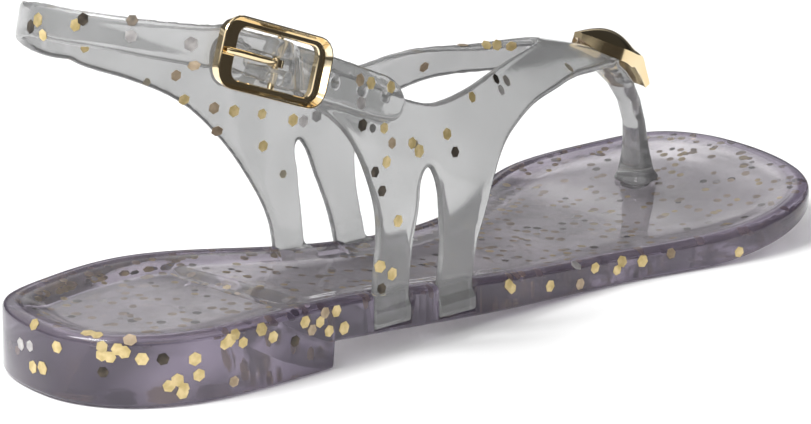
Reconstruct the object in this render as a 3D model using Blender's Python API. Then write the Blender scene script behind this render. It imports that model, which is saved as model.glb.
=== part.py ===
"""Jelly sandal, right shoe: a moulded sole, a one-piece clear upper, a pin buckle and a metal ornament.

Sizes are in millimetres here and become metres in the meshes. X runs from the back of the heel to the
toe, Y to the inner side of the foot and Z up from the floor. At the end the whole shoe is moved so that
the origin lies under the middle of its box.
"""
import math

import bmesh
import bpy
import numpy as np
from mathutils import Matrix, Vector
from mathutils.geometry import delaunay_2d_cdt

MM = 0.001
GAP = 0.3  # clearance between pieces that touch on the real shoe
INNER, OUTER = 1, -1  # the sides of the foot: the big toe's side is +Y

# Driving sizes of the sole
LENGTH = 248.0
HEEL_FRONT = 63.0  # where the heel block ends
BREAST_RUN = 0.6  # how far the face of the heel block leans over its height
FLAT_FROM, FLAT_TO = 158.0, 188.0  # the forefoot's flat spot on the floor
ARCH_RISE = 6.6  # underside just in front of the heel block
TOE_SPRING = 11.4  # underside at the tip of the toe
HEEL_CUP, FOREFOOT_DISH = 2.6, 1.5  # how deep the footbed lies under its rim
CUP_EDGE = 59.0  # where the heel cup steps up to the front part
SOLE_ROWS = 44

# Share of the way round from heel to toe, width to the inner side, width to the outer side
OUTLINE = [
    (0.0, 0.0, 0.0),
    (0.1, 23.0, 17.1),
    (0.2, 30.6, 28.4),
    (0.3, 31.0, 31.1),
    (0.4, 19.6, 30.9),
    (0.5, 17.8, 31.4),
    (0.6, 28.6, 31.6),
    (0.7, 44.8, 38.8),
    (0.8, 40.0, 38.4),
    (0.9, 28.8, 23.4),
    (1.0, 7.2, -7.2),
]
# Distance from the heel, height of the sole's upper rim
RIM = [(0, 17.0), (30, 17.2), (62, 17.0), (88, 14.8), (112, 12.2), (154, 8.5), (198, 8.8), (248, 15.3)]
# Inset from the outline, whether it is measured from the rim (1) or the underside (0), height from there
SOLE_RINGS = [
    (4.0, 0, 0.0),
    (1.3, 0, 0.0),
    (0.3, 0, 0.5),
    (0.0, 0, 1.2),
    (0.0, 1, -1.8),
    (0.4, 1, -0.8),
    (1.6, 1, -0.1),
    (3.2, 1, 0.0),
    (5.2, 1, -0.25),
]
DISH_EDGE, DISH_FLOOR = 8.0, 12.0  # insets between which the footbed falls to its full depth

# The last, as sections across the foot. Columns: distance from the heel, height of the crest, how far the
# crest lies to the inner side, height of the sole's edge, reach to the outer side and to the inner side
# at the sole, how far the inner side bulges halfway up, and how round the section is.
LAST = [
    (30, 165.0, 0.0, 17.0, -30.0, 27.5, 0.0, 0.60),
    (60, 130.0, 0.0, 16.5, -30.5, 26.0, 1.5, 0.60),
    (80, 106.0, 1.0, 15.0, -29.8, 20.5, 3.5, 0.60),
    (100, 88.0, 2.0, 13.0, -29.5, 17.5, 5.0, 0.60),
    (120, 75.0, 3.5, 11.0, -29.6, 16.5, 6.0, 0.75),
    (140, 65.8, 5.5, 9.5, -28.0, 19.0, 5.5, 0.90),
    (160, 58.4, 7.5, 8.5, -25.0, 22.0, 4.0, 1.00),
    (180, 52.6, 9.0, 8.0, -20.0, 26.0, 2.0, 1.10),
    (200, 46.2, 10.0, 8.0, -12.0, 28.0, 0.0, 1.10),
    (215, 39.0, 10.5, 9.0, -8.0, 28.0, 0.0, 1.10),
]
ANKLE_X, ANKLE_REACH, ANKLE_TURN = 30.0, 28.0, 30.0  # behind ANKLE_X the last turns round the heel
ANKLE_LEAN, ANKLE_HEIGHT = 0.25, 80.0  # how fast the back comes forward with height, and from where
HEEL_BACK = ANKLE_X - ANKLE_TURN * math.pi / 2
HEEL_SHIFT = 2.0  # the back of the ankle loop lies this far to the inner side

# The upper's wall
WALL = 2.4
STRAP_WALL = 2.0
EDGE_ROUND = 0.9
OUTLINE_STEP = 3.2
FILL_STEP = 5.5
DEGREE = 1.6  # about how many millimetres a degree of the last's section is

# Edges of the two wings. Columns: distance from the heel, degrees up the side of the last
OUTER_REAR_EDGE = [(76.8, -3), (77.0, 3), (78.2, 9), (77.2, 14.5), (74.5, 18.7), (71.0, 21.8), (66.0, 23.8)]
OUTER_ARM_LOWER = [(66.0, 23.8), (60.0, 24.5), (50.0, 24.2), (40.0, 23.4), (31.0, 23.0)]
OUTER_ARM_END = [(31.0, 23.0), (27.6, 23.6), (26.4, 25.6), (27.6, 27.6), (31.0, 28.2)]
OUTER_ARM_UPPER = [(31.0, 28.2), (45.0, 29.2), (60.0, 30.8), (78.0, 33.4), (91.0, 35.1), (99.0, 36.6)]
OUTER_TOP_EDGE = [(99.0, 36.6), (104.0, 38.8), (112.0, 43.3), (126.4, 52.8), (145.0, 65.0), (160.0, 76.0)]
OUTER_FRONT_EDGE = [
    (110.5, -3),
    (110.7, 2),
    (112.6, 8.8),
    (115.9, 15.3),
    (118.3, 20.2),
    (121.9, 26.7),
    (126.3, 32.4),
    (133.8, 38.8),
    (144.7, 46.1),
    (157.7, 52.8),
    (172.4, 60.0),
]
OUTER_SLOT = [(88.9, -3), (89.2, 3), (91.0, 10), (93.0, 16), (95.0, 21.5), (97.0, 22.8), (98.6, 21.2)]
OUTER_SLOT_FRONT = [(98.6, 21.2), (99.8, 15), (100.0, 9), (99.2, 3), (98.4, -3)]
INNER_REAR_EDGE = [(88.6, -3), (88.4, 3), (86.6, 7), (82.1, 11.9), (77.7, 15.4), (73.2, 17.8), (68.7, 19.5)]
INNER_ARM_LOWER = [(68.7, 19.5), (64.1, 20.5), (58.0, 21.0)]
INNER_ARM_UPPER = [(58.0, 27.4), (68.0, 28.6), (80.0, 30.4), (95.0, 34.0), (108.0, 38.6), (119.7, 43.8)]
INNER_TOP_EDGE = [(119.7, 43.8), (125.8, 47.7), (136.6, 54.6), (145.6, 59.4), (158.0, 66.0), (167.0, 76.0)]
INNER_FRONT_EDGE = [
    (118.5, -3),
    (118.2, 2),
    (117.4, 8),
    (117.0, 14),
    (117.4, 19.5),
    (120.0, 26.5),
    (127.0, 33.6),
    (136.0, 39.2),
    (144.4, 43.8),
    (153.7, 47.8),
    (168.0, 52.0),
]
INNER_SLOT = [(98.2, -3), (98.3, 4), (98.0, 10), (97.6, 15.5), (97.4, 19.0), (98.6, 20.6), (100.2, 19.6)]
INNER_SLOT_FRONT = [(100.2, 19.6), (102.6, 15.5), (105.0, 10.5), (107.0, 5), (108.2, -3)]
# The front of the joined straps, from the inner side over the crest to the outer side
BRIDGE_FRONT = [(168.0, 52.0), (184.0, 60.0), (196.0, 70.0), (202.0, 80.0)]
BRIDGE_FRONT_OUTER = [(202.0, 100.0), (196.0, 109.0), (184.0, 116.0), (172.4, 120.0)]
CROTCH = (171.0, 90.0)

# The ankle strap from the inner wing round the heel to its free tip. Columns: distance along the last
# (behind HEEL_BACK it is counted on past the back of the heel), lower edge, upper edge in degrees, and
# how far the strap stands out from the wall of the upper
STRAP_INNER = [
    (58.0, 21.0, 27.4, 0.0),
    (48.0, 21.1, 26.9, 0.0),
    (38.0, 21.0, 26.4, 0.0),
    (28.0, 21.5, 26.4, 0.0),
    (18.0, 23.0, 27.6, 0.0),
    (8.0, 24.8, 29.1, 0.0),
    (-2.0, 26.2, 29.9, 0.0),
    (-10.0, 27.0, 30.5, 0.0),
]
STRAP_OUTER = [
    (-10.0, 27.2, 30.8, 0.2),
    (-2.0, 27.2, 30.8, 0.7),
    (8.0, 26.7, 30.5, 1.5),
    (18.0, 25.9, 30.1, 2.3),
    (28.0, 25.0, 29.6, 2.75),
    (40.0, 24.8, 30.2, 2.75),
    (50.0, 25.0, 31.2, 2.75),
    (60.0, 25.6, 32.6, 2.75),
    (70.0, 26.6, 34.4, 2.75),
    (80.0, 28.0, 36.4, 2.75),
    (87.0, 29.4, 37.8, 2.75),
]
STRAP_ROWS = 64
STRAP_ACROSS = 4
TIP_LENGTH = 7.0

# Buckle, placed on the outer arm. Heights are measured from the middle of the arm's wall
BUCKLE_AT = 42.9  # its bar's distance from the heel along the last
BUCKLE_DEGREE = 27.55
BUCKLE_SLOPE = 20.5  # degrees that the buckle's length falls towards the toe
FRAME_LONG, FRAME_HIGH = 35.2, 17.0
FRAME_BEHIND = 2.3  # the middle of the frame lies this far behind the bar
FRAME_CORNER, WINDOW_CORNER = 5.0, 2.4
FRAME_LOW, FRAME_FACE, FRAME_RIM = 4.0, 5.5, 7.0  # its back, its flat face and the rim round the face
RIM_TOP, RIM_RUN, RIM_LEAN = 0.4, 0.8, 0.9  # width of the rim's top, of its inner slope and of its outer one
SIDE_REAR, SIDE_FRONT, SIDE_LONG = 5.8, 3.4, 2.4  # widths of the frame's four sides
BAR_RADIUS = 0.8
BAR_HEIGHT = 4.2
LOOP_WALL = 0.8
LOOP_WIDTH = 2.2
LOOP_PLACE = 3.4  # each moulded loop's middle from the middle of the bar
PRONG_RADIUS = 0.9
PRONG_EYE = 1.9
STRAP_BUMP = 4.6  # how far the strap rises over the bar
BUMP_REACH = 9.5
PRONG_SLOT = 2.5

# Toe post. Columns: distance from the heel, to the inner side, height, half width, half depth
POST = [
    (214.0, 10.6, 5.2, 4.0, 3.6),
    (214.0, 10.6, 9.5, 4.0, 3.6),
    (214.0, 10.6, 9.55, 6.2, 5.2),
    (214.0, 10.6, 10.5, 6.0, 5.0),
    (213.9, 10.6, 11.0, 5.3, 4.2),
    (213.8, 10.6, 13.6, 4.7, 3.5),
    (213.3, 10.5, 19.0, 3.8, 2.7),
    (212.2, 10.4, 26.0, 3.4, 2.3),
    (209.8, 10.3, 32.5, 3.8, 2.0),
    (206.2, 10.2, 37.8, 4.8, 1.8),
    (201.8, 10.1, 42.0, 5.9, 1.7),
    (196.6, 9.9, 45.8, 6.2, 1.45),
    (191.6, 9.6, 48.6, 5.0, 0.9),
]
COLLAR_TOP = 12.0
FOOTBED_SLOPE = 0.14  # the toe spring under the collar
POST_SIDES = 20
POST_SHAPE = 2.6  # 2 is an ellipse, more is squarer
POCKET_SIDE = 0.35
POCKET_FLOOR = 4.2

# Ornament. Columns: distance from the heel, height of its underside, half width, rise of its middle over
# its edges, thickness of its edges. Its last rows are the plate in front of the post.
ORNAMENT = [
    (188.8, 52.9, 1.4, 0.3, 1.3),
    (190.4, 52.3, 3.0, 1.0, 1.3),
    (193.0, 51.2, 5.2, 2.1, 1.3),
    (196.0, 50.0, 7.0, 3.0, 1.3),
    (199.0, 48.8, 7.8, 3.4, 1.4),
    (201.8, 47.3, 7.8, 3.2, 1.6),
    (203.6, 45.8, 7.6, 2.0, 2.2),
    (204.8, 44.6, 7.4, 0.8, 2.9),
    (206.6, 42.3, 7.0, 0.5, 2.3),
    (208.2, 39.8, 6.8, 0.4, 1.8),
    (209.4, 37.4, 6.6, 0.3, 1.6),
]
ORNAMENT_MIDDLE = 9.8
ORNAMENT_SAG = 0.012  # how fast its underside falls to both sides
ORNAMENT_SKIRT = 1.8  # how far its edges reach below the underside
ORNAMENT_ACROSS = 12
RIVET_AT = 192.0
RIVET_RADIUS, RIVET_HEAD, RIVET_HOLE = 1.4, 2.2, 1.75
RIVET_HEAD_THICK = 0.8
RIVET_DROP = 0.9  # its head lies this far under the curved wall

# Feet of the legs, where they are held in notches of the sole's side. Columns: side, from, to
LEG_FEET = [
    (OUTER, 76.6, 89.0),
    (OUTER, 98.2, 110.7),
    (INNER, 88.4, 98.4),
    (INNER, 108.0, 118.6),
]
FOOT_PROUD, FOOT_DEEP = 0.5, 4.4
FOOT_BOTTOM, FOOT_TOP = 1.8, 0.6  # over the underside, under the rim
LEDGE_LOW, LEDGE_HIGH, LEDGE_IN = 4.4, 2.7, 0.9


class Curve:
    """A natural cubic through (place, value) rows, held at its ends."""

    def __init__(self, rows):
        self.at = np.array([float(r[0]) for r in rows])
        self.value = np.array([float(r[1]) for r in rows])
        count = len(rows)
        step = np.diff(self.at)
        left = np.eye(count)
        right = np.zeros(count)
        for i in range(1, count - 1):
            left[i, i - 1] = step[i - 1]
            left[i, i] = 2 * (step[i - 1] + step[i])
            left[i, i + 1] = step[i]
            ahead = (self.value[i + 1] - self.value[i]) / step[i]
            behind = (self.value[i] - self.value[i - 1]) / step[i - 1]
            right[i] = 6 * (ahead - behind)
        self.bend = np.linalg.solve(left, right)

    def __call__(self, x):
        x = min(max(x, self.at[0]), self.at[-1])
        i = min(max(int(np.searchsorted(self.at, x)) - 1, 0), len(self.at) - 2)
        h = self.at[i + 1] - self.at[i]
        a = self.at[i + 1] - x
        b = x - self.at[i]
        cubic = (self.bend[i] * a**3 + self.bend[i + 1] * b**3) / (6 * h)
        start = (self.value[i] / h - self.bend[i] * h / 6) * a
        end = (self.value[i + 1] / h - self.bend[i + 1] * h / 6) * b
        return cubic + start + end


def column(rows, index):
    return Curve([(r[0], r[index]) for r in rows])


inner_width = column(OUTLINE, 1)
outer_width = column(OUTLINE, 2)
rim_height = Curve(RIM)
last_columns = [column(LAST, i) for i in range(1, 8)]


def smooth_step(low, high, x):
    t = min(max((x - low) / (high - low), 0.0), 1.0)
    return t * t * (3 - 2 * t)


# The sole's outline and heights


def outline_x(share):
    return LENGTH * (1 - math.cos(math.pi * share)) / 2


def outline_share(x):
    return math.acos(1 - 2 * x / LENGTH) / math.pi


def side_point(side, share):
    """A point on the sole's outline, in plan."""
    width = inner_width(share) if side == INNER else outer_width(share)
    return Vector((outline_x(share), side * width))


def side_inward(side, share):
    """The direction into the sole at a point of its outline."""
    step = 0.004
    before = side_point(side, max(share - step, 0.0))
    after = side_point(side, min(share + step, 1.0))
    if share < step:
        before = side_point(-side, step)
    if share > 1 - step:
        after = side_point(-side, 1 - step)
    along = (after - before).normalized()
    return Vector((along.y, -along.x)) * side


def side_inset(side, share, inset):
    return side_point(side, share) + side_inward(side, share) * inset


def underside(x):
    """Height of the sole's underside: heel block, arch, flat spot and toe spring."""
    if x <= HEEL_FRONT:
        return 0.0
    if x < FLAT_FROM:
        return ARCH_RISE * ((FLAT_FROM - x) / (FLAT_FROM - HEEL_FRONT)) ** 1.3
    if x <= FLAT_TO:
        return 0.0
    return TOE_SPRING * ((x - FLAT_TO) / (LENGTH - FLAT_TO)) ** 1.6


def dish(x):
    """How far the footbed lies under the rim."""
    return FOREFOOT_DISH + (HEEL_CUP - FOREFOOT_DISH) * (1 - smooth_step(CUP_EDGE - 2, CUP_EDGE + 2, x))


# The last, on which the upper's wall lies


def last_point(side, s, degrees):
    """A point of the last: s along the shoe, degrees up its side. Past HEEL_BACK it goes round the heel."""
    x = max(s, ANKLE_X)
    crest, middle, base, outer, inner, bulge, roundness = [c(x) for c in last_columns]
    angle = math.radians(degrees)
    reach = inner if side == INNER else outer
    y = middle + (reach - middle) * max(math.cos(angle), 0.0) ** roundness
    if side == INNER:
        y += bulge * math.sin(2 * angle)
    z = base + (crest - base) * math.sin(angle)
    if s >= ANKLE_X:
        return Vector((s, y, z))
    turn = (ANKLE_X - s) / ANKLE_TURN
    back = math.sin(turn)
    reach = ANKLE_REACH - ANKLE_LEAN * (z - ANKLE_HEIGHT)
    return Vector((ANKLE_X - reach * back, HEEL_SHIFT * back + y * math.cos(turn), z))


def wall_point(side, s, degrees, out=0.0):
    """A point out from the last along its outward normal."""
    step = 0.05
    here = last_point(side, s, degrees)
    low, high = degrees - step, degrees + step
    along = last_point(side, s + step, degrees) - last_point(side, s - step, degrees)
    up = last_point(side, s, high) - last_point(side, s, low)
    normal = up.cross(along) * side
    return here + normal.normalized() * out


def sheet_point(place, out=0.0):
    """A point of the wings: degrees run from the inner side (0) over the crest (90) to the outer (180)."""
    s, degrees = place
    if abs(degrees - 90) < 1.5:
        inner = wall_point(INNER, s, 88.5, out)
        outer = wall_point(OUTER, s, 88.5, out)
        return inner.lerp(outer, (degrees - 88.5) / 3.0)
    if degrees < 90:
        return wall_point(INNER, s, degrees, out)
    return wall_point(OUTER, s, 180 - degrees, out)


# Small mesh helpers


def new_object(name, points, faces, smooth_angle=40):
    """An object from points in millimetres, with its faces pointing out."""
    mesh = bpy.data.meshes.new(name)
    mesh.from_pydata([tuple(Vector(p) * MM) for p in points], [], faces)
    work = bmesh.new()
    work.from_mesh(mesh)
    bmesh.ops.remove_doubles(work, verts=work.verts, dist=0.00002)
    bmesh.ops.recalc_face_normals(work, faces=work.faces)
    if work.calc_volume(signed=True) < 0:
        bmesh.ops.reverse_faces(work, faces=work.faces)
    work.to_mesh(mesh)
    work.free()
    mesh.shade_smooth()
    mesh.set_sharp_from_angle(angle=math.radians(smooth_angle))
    thing = bpy.data.objects.new(name, mesh)
    bpy.context.scene.collection.objects.link(thing)
    return thing


def boolean(target, other, operation):
    """Cuts or joins with the exact solver and keeps the result as the target's mesh."""
    modifier = target.modifiers.new("cut", "BOOLEAN")
    modifier.object = other
    modifier.operation = operation
    modifier.solver = "EXACT"
    graph = bpy.context.evaluated_depsgraph_get()
    mesh = bpy.data.meshes.new_from_object(target.evaluated_get(graph))
    target.modifiers.clear()
    old = target.data
    target.data = mesh
    mesh.name = target.name
    bpy.data.meshes.remove(old)
    bpy.data.objects.remove(other)


def loft(rings, closed_ends=True):
    """Points and faces of a tube through rings with the same number of points."""
    count = len(rings[0])
    points = [p for ring in rings for p in ring]
    faces = []
    for row in range(len(rings) - 1):
        for i in range(count):
            j = (i + 1) % count
            a = row * count
            faces.append((a + i, a + j, a + count + j, a + count + i))
    if closed_ends:
        faces.append(tuple(range(count)))
        faces.append(tuple(range((len(rings) - 1) * count, len(rings) * count)))
    return points, faces


def resample(rows, step):
    """Points about step apart on a smooth curve through (s, degrees) rows, without the last one."""
    travel = [0.0]
    for a, b in zip(rows, rows[1:]):
        travel.append(travel[-1] + math.hypot(b[0] - a[0], (b[1] - a[1]) * DEGREE))
    along = Curve([(t, r[0]) for t, r in zip(travel, rows)])
    up = Curve([(t, r[1]) for t, r in zip(travel, rows)])
    count = max(1, round(travel[-1] / step))
    places = [travel[-1] * i / count for i in range(count)]
    return [(along(t), up(t)) for t in places]


def outer_rows(rows):
    """Rows of the outer side, in the wings' degrees."""
    return [(s, 180 - degrees) for s, degrees in rows]


# Sole


def sole_shares():
    """Shares of the way from heel to toe, with two close rows at the face of the heel block."""
    breast = [outline_share(HEEL_FRONT), outline_share(HEEL_FRONT + BREAST_RUN)]
    even = [i / SOLE_ROWS for i in range(SOLE_ROWS + 1)]
    near = 0.4 / SOLE_ROWS
    kept = [t for t in even if min(abs(t - b) for b in breast) > near]
    return sorted(kept + breast)


def sole_ring(shares, inset, height):
    """A closed ring: the outer side from heel to toe, then the inner side back."""
    ring = []
    for side, order in ((OUTER, shares), (INNER, shares[::-1])):
        for share in order:
            if side == INNER and share in (shares[0], shares[-1]):
                continue
            point = side_inset(side, share, inset)
            ring.append(Vector((point.x, point.y, height(outline_x(share)))))
    return ring


def ladder(points, start, rows, bulge):
    """Faces that fill a ring across the shoe, with two middle points on each rung."""
    faces = []
    total = 2 * rows - 2

    def outer(i):
        return start + i

    def inner(i):
        return start + (total - i) % total

    middles = []
    for i in range(1, rows - 1):
        a = points[outer(i)]
        b = points[inner(i)]
        third = a.lerp(b, 1 / 3)
        other = a.lerp(b, 2 / 3)
        third.z += bulge
        other.z += bulge
        middles.append(len(points))
        points.extend((third, other))
    for row in range(rows - 3):
        m, n = middles[row], middles[row + 1]
        i = row + 1
        faces.append((outer(i), outer(i + 1), n, m))
        faces.append((m, n, n + 1, m + 1))
        faces.append((m + 1, n + 1, inner(i + 1), inner(i)))
    first, last = middles[0], middles[-1]
    faces.append((outer(0), outer(1), first))
    faces.append((outer(0), first, first + 1))
    faces.append((outer(0), first + 1, inner(1)))
    end = rows - 1
    faces.append((outer(end), last, outer(end - 1)))
    faces.append((outer(end), last + 1, last))
    faces.append((outer(end), inner(end - 1), last + 1))
    return faces


def sole_body():
    shares = sole_shares()
    rings = []
    for inset, from_rim, rise in SOLE_RINGS:
        level = rim_height if from_rim else underside
        rings.append(sole_ring(shares, inset, lambda x, level=level, rise=rise: level(x) + rise))
    rings.append(sole_ring(shares, DISH_EDGE, lambda x: rim_height(x) - 0.8 * dish(x)))
    rings.append(sole_ring(shares, DISH_FLOOR, lambda x: rim_height(x) - dish(x)))
    points, faces = loft(rings, closed_ends=False)
    points = list(points)
    ring_size = len(rings[0])
    faces += ladder(points, 0, len(shares), 0.0)
    faces += ladder(points, ring_size * (len(rings) - 1), len(shares), -0.2)
    return new_object("sole", points, faces)


def leg_foot(name, side, start, end, grow):
    """The block at the foot of a leg, or its notch in the sole when grow is more than nothing."""
    middle = (start + end) / 2
    low = underside(middle) + FOOT_BOTTOM - grow
    rim = rim_height(middle)
    top = rim + 5.0 if grow else rim - FOOT_TOP
    section = [
        (FOOT_DEEP + grow, low),
        (-FOOT_PROUD, low),
        (-FOOT_PROUD, rim - LEDGE_LOW),
        (LEDGE_IN, rim - LEDGE_HIGH),
        (LEDGE_IN, top),
        (FOOT_DEEP + grow, top),
    ]
    if grow:
        section = [(FOOT_DEEP + grow, low), (-3.0, low), (-3.0, top), (FOOT_DEEP + grow, top)]
    rings = []
    for x in (start - grow, end + grow):
        share = outline_share(x)
        ring = []
        for inset, z in section:
            point = side_inset(side, share, inset)
            ring.append(Vector((point.x, point.y, z)))
        rings.append(ring)
    return new_object(name, *loft(rings))


def make_sole():
    sole = sole_body()
    for side, start, end in LEG_FEET:
        boolean(sole, leg_foot("notch", side, start, end, GAP), "DIFFERENCE")
    x, y = POST[0][0], POST[0][1]
    wide = POST[0][3] + POCKET_SIDE
    deep = POST[0][4] + POCKET_SIDE
    rings = [post_ring((x, y, z), (1, 0, 0), wide, deep) for z in (POCKET_FLOOR, 20.0)]
    boolean(sole, new_object("pocket", *loft(rings)), "DIFFERENCE")
    return sole


# Upper


def post_ring(centre, across_depth, wide, deep):
    """A squarish ring: width along Y, depth along a direction in the XZ plane."""
    depth = Vector(across_depth)
    ring = []
    for i in range(POST_SIDES):
        angle = 2 * math.pi * i / POST_SIDES
        c, s = math.cos(angle), math.sin(angle)
        size = (abs(c) ** POST_SHAPE + abs(s) ** POST_SHAPE) ** (-1 / POST_SHAPE)
        ring.append(Vector(centre) + Vector((0, wide * s * size, 0)) + depth * (deep * c * size))
    return ring


def toe_post():
    rings = []
    for i, (x, y, z, wide, deep) in enumerate(POST):
        a = POST[max(i - 1, 0)]
        b = POST[min(i + 1, len(POST) - 1)]
        along = Vector((b[0] - a[0], 0, b[2] - a[2])).normalized()
        if z < COLLAR_TOP:
            along = Vector((-FOOTBED_SLOPE, 0, 1)).normalized()
        rings.append(post_ring((x, y, z), (along.z, 0, -along.x), wide, deep))
    return new_object("post", *loft(rings))


def wings_outline():
    """The edge of both wings and the bridge between them, as (s, degrees); it is open at the ankle strap."""
    step = OUTLINE_STEP
    edge = []
    edge += resample((INNER_REAR_EDGE + INNER_ARM_LOWER[1:])[::-1], step)
    edge += resample([INNER_REAR_EDGE[0], INNER_SLOT[0]], step)
    edge += resample(INNER_SLOT + INNER_SLOT_FRONT[1:], step)
    edge += resample([INNER_SLOT_FRONT[-1], INNER_FRONT_EDGE[0]], step)
    front = INNER_FRONT_EDGE + BRIDGE_FRONT[1:] + BRIDGE_FRONT_OUTER
    edge += resample(front + outer_rows(OUTER_FRONT_EDGE[-2::-1]), step)
    edge += resample(outer_rows([OUTER_FRONT_EDGE[0], OUTER_SLOT_FRONT[-1]]), step)
    edge += resample(outer_rows((OUTER_SLOT + OUTER_SLOT_FRONT[1:])[::-1]), step)
    edge += resample(outer_rows([OUTER_SLOT[0], OUTER_REAR_EDGE[0]]), step)
    rear = OUTER_REAR_EDGE + OUTER_ARM_LOWER[1:] + OUTER_ARM_END[1:] + OUTER_ARM_UPPER[1:]
    top = OUTER_TOP_EDGE[1:]
    edge += resample(outer_rows(rear + top) + [CROTCH] + (INNER_ARM_UPPER + INNER_TOP_EDGE[1:])[::-1], step)
    return edge


def flat(place):
    return Vector((place[0], place[1] * DEGREE))


def inward_points(edge, inset):
    """The outline moved inwards; it runs with its inside on the left."""
    moved = []
    count = len(edge)
    for i in range(count):
        before, here, after = flat(edge[i - 1]), flat(edge[i]), flat(edge[(i + 1) % count])
        a = (here - before).normalized()
        b = (after - here).normalized()
        normal = Vector((-(a.y + b.y), a.x + b.x))
        if normal.length < 0.2:
            normal = Vector((-a.y, a.x))
        normal.normalize()
        point = here + normal * inset
        moved.append((point.x, point.y / DEGREE))
    return moved


def signed_area(places):
    points = [flat(p) for p in places]
    return sum(a.x * b.y - b.x * a.y for a, b in zip(points, points[1:] + points[:1])) / 2


def inside(point, polygon):
    hit = False
    for a, b in zip(polygon, polygon[1:] + polygon[:1]):
        if (a.y > point.y) != (b.y > point.y):
            if point.x < a.x + (point.y - a.y) / (b.y - a.y) * (b.x - a.x):
                hit = not hit
    return hit


def distance_to(point, polygon):
    best = 1e9
    for a, b in zip(polygon, polygon[1:] + polygon[:1]):
        run = b - a
        t = min(max((point - a).dot(run) / max(run.length_squared, 1e-9), 0.0), 1.0)
        best = min(best, (a + run * t - point).length)
    return best


def fill_points(polygon, step):
    """Points of a staggered grid that lie well inside the polygon."""
    lows = [min(p[i] for p in polygon) for i in range(2)]
    highs = [max(p[i] for p in polygon) for i in range(2)]
    found = []
    row = 0
    y = lows[1] + step / 2
    while y < highs[1]:
        x = lows[0] + (step / 2 if row % 2 else 0.0)
        while x < highs[0]:
            point = Vector((x, y))
            if inside(point, polygon) and distance_to(point, polygon) > step * 0.45:
                found.append(point)
            x += step
        y += step * 0.87
        row += 1
    return found


def strap_rows():
    """Rows of the ankle strap: side, s, lower and upper degrees, and how far it stands out."""
    length_inner = STRAP_INNER[0][0] - HEEL_BACK
    length_outer = STRAP_OUTER[-1][0] - HEEL_BACK
    total = length_inner + length_outer
    table = [(STRAP_INNER[0][0] - r[0],) + r[1:] for r in STRAP_INNER]
    table += [(length_inner + r[0] - HEEL_BACK,) + r[1:] for r in STRAP_OUTER]
    lower, upper, out = column(table, 1), column(table, 2), column(table, 3)
    rows = []
    for i in range(STRAP_ROWS + 1):
        travel = total * i / STRAP_ROWS
        low, high = lower(travel), upper(travel)
        left = total - travel
        if left < TIP_LENGTH:
            share = math.sqrt(max(1 - ((TIP_LENGTH - left) / TIP_LENGTH) ** 2.4, 0.02))
            middle, half = (low + high) / 2, (high - low) / 2
            low, high = middle - half * share, middle + half * share
        if travel <= length_inner:
            side, s = INNER, STRAP_INNER[0][0] - travel
        else:
            side, s = OUTER, HEEL_BACK + travel - length_inner
        bump = 0.0
        if side == OUTER and abs(s - BUCKLE_AT) < BUMP_REACH:
            bump = STRAP_BUMP * (1 + math.cos(math.pi * (s - BUCKLE_AT) / BUMP_REACH)) / 2
        rows.append((side, s, low, high, out(travel) + bump))
    return rows


def strap_wall(i):
    """The strap starts as thick as the wing that it grows out of and thins towards the buckle."""
    return WALL + (STRAP_WALL - WALL) * smooth_step(0, STRAP_ROWS * 0.5, i)


def strap_ring(row, wall):
    """One section of the strap: its inner face, upper edge, outer face and lower edge."""
    side, s, low, high, out = row
    per_degree = (wall_point(side, s, high) - wall_point(side, s, low)).length / (high - low)
    inset = min(EDGE_ROUND / per_degree, (high - low) * 0.3)
    across = [low + inset + (high - low - 2 * inset) * k / STRAP_ACROSS for k in range(STRAP_ACROSS + 1)]
    ring = [wall_point(side, s, d, out + wall / 2) for d in across]
    ring.append(wall_point(side, s, high, out + wall / 4))
    ring.append(wall_point(side, s, high, out - wall / 4))
    ring += [wall_point(side, s, d, out - wall / 2) for d in across[::-1]]
    ring.append(wall_point(side, s, low, out - wall / 4))
    ring.append(wall_point(side, s, low, out + wall / 4))
    return ring


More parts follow.
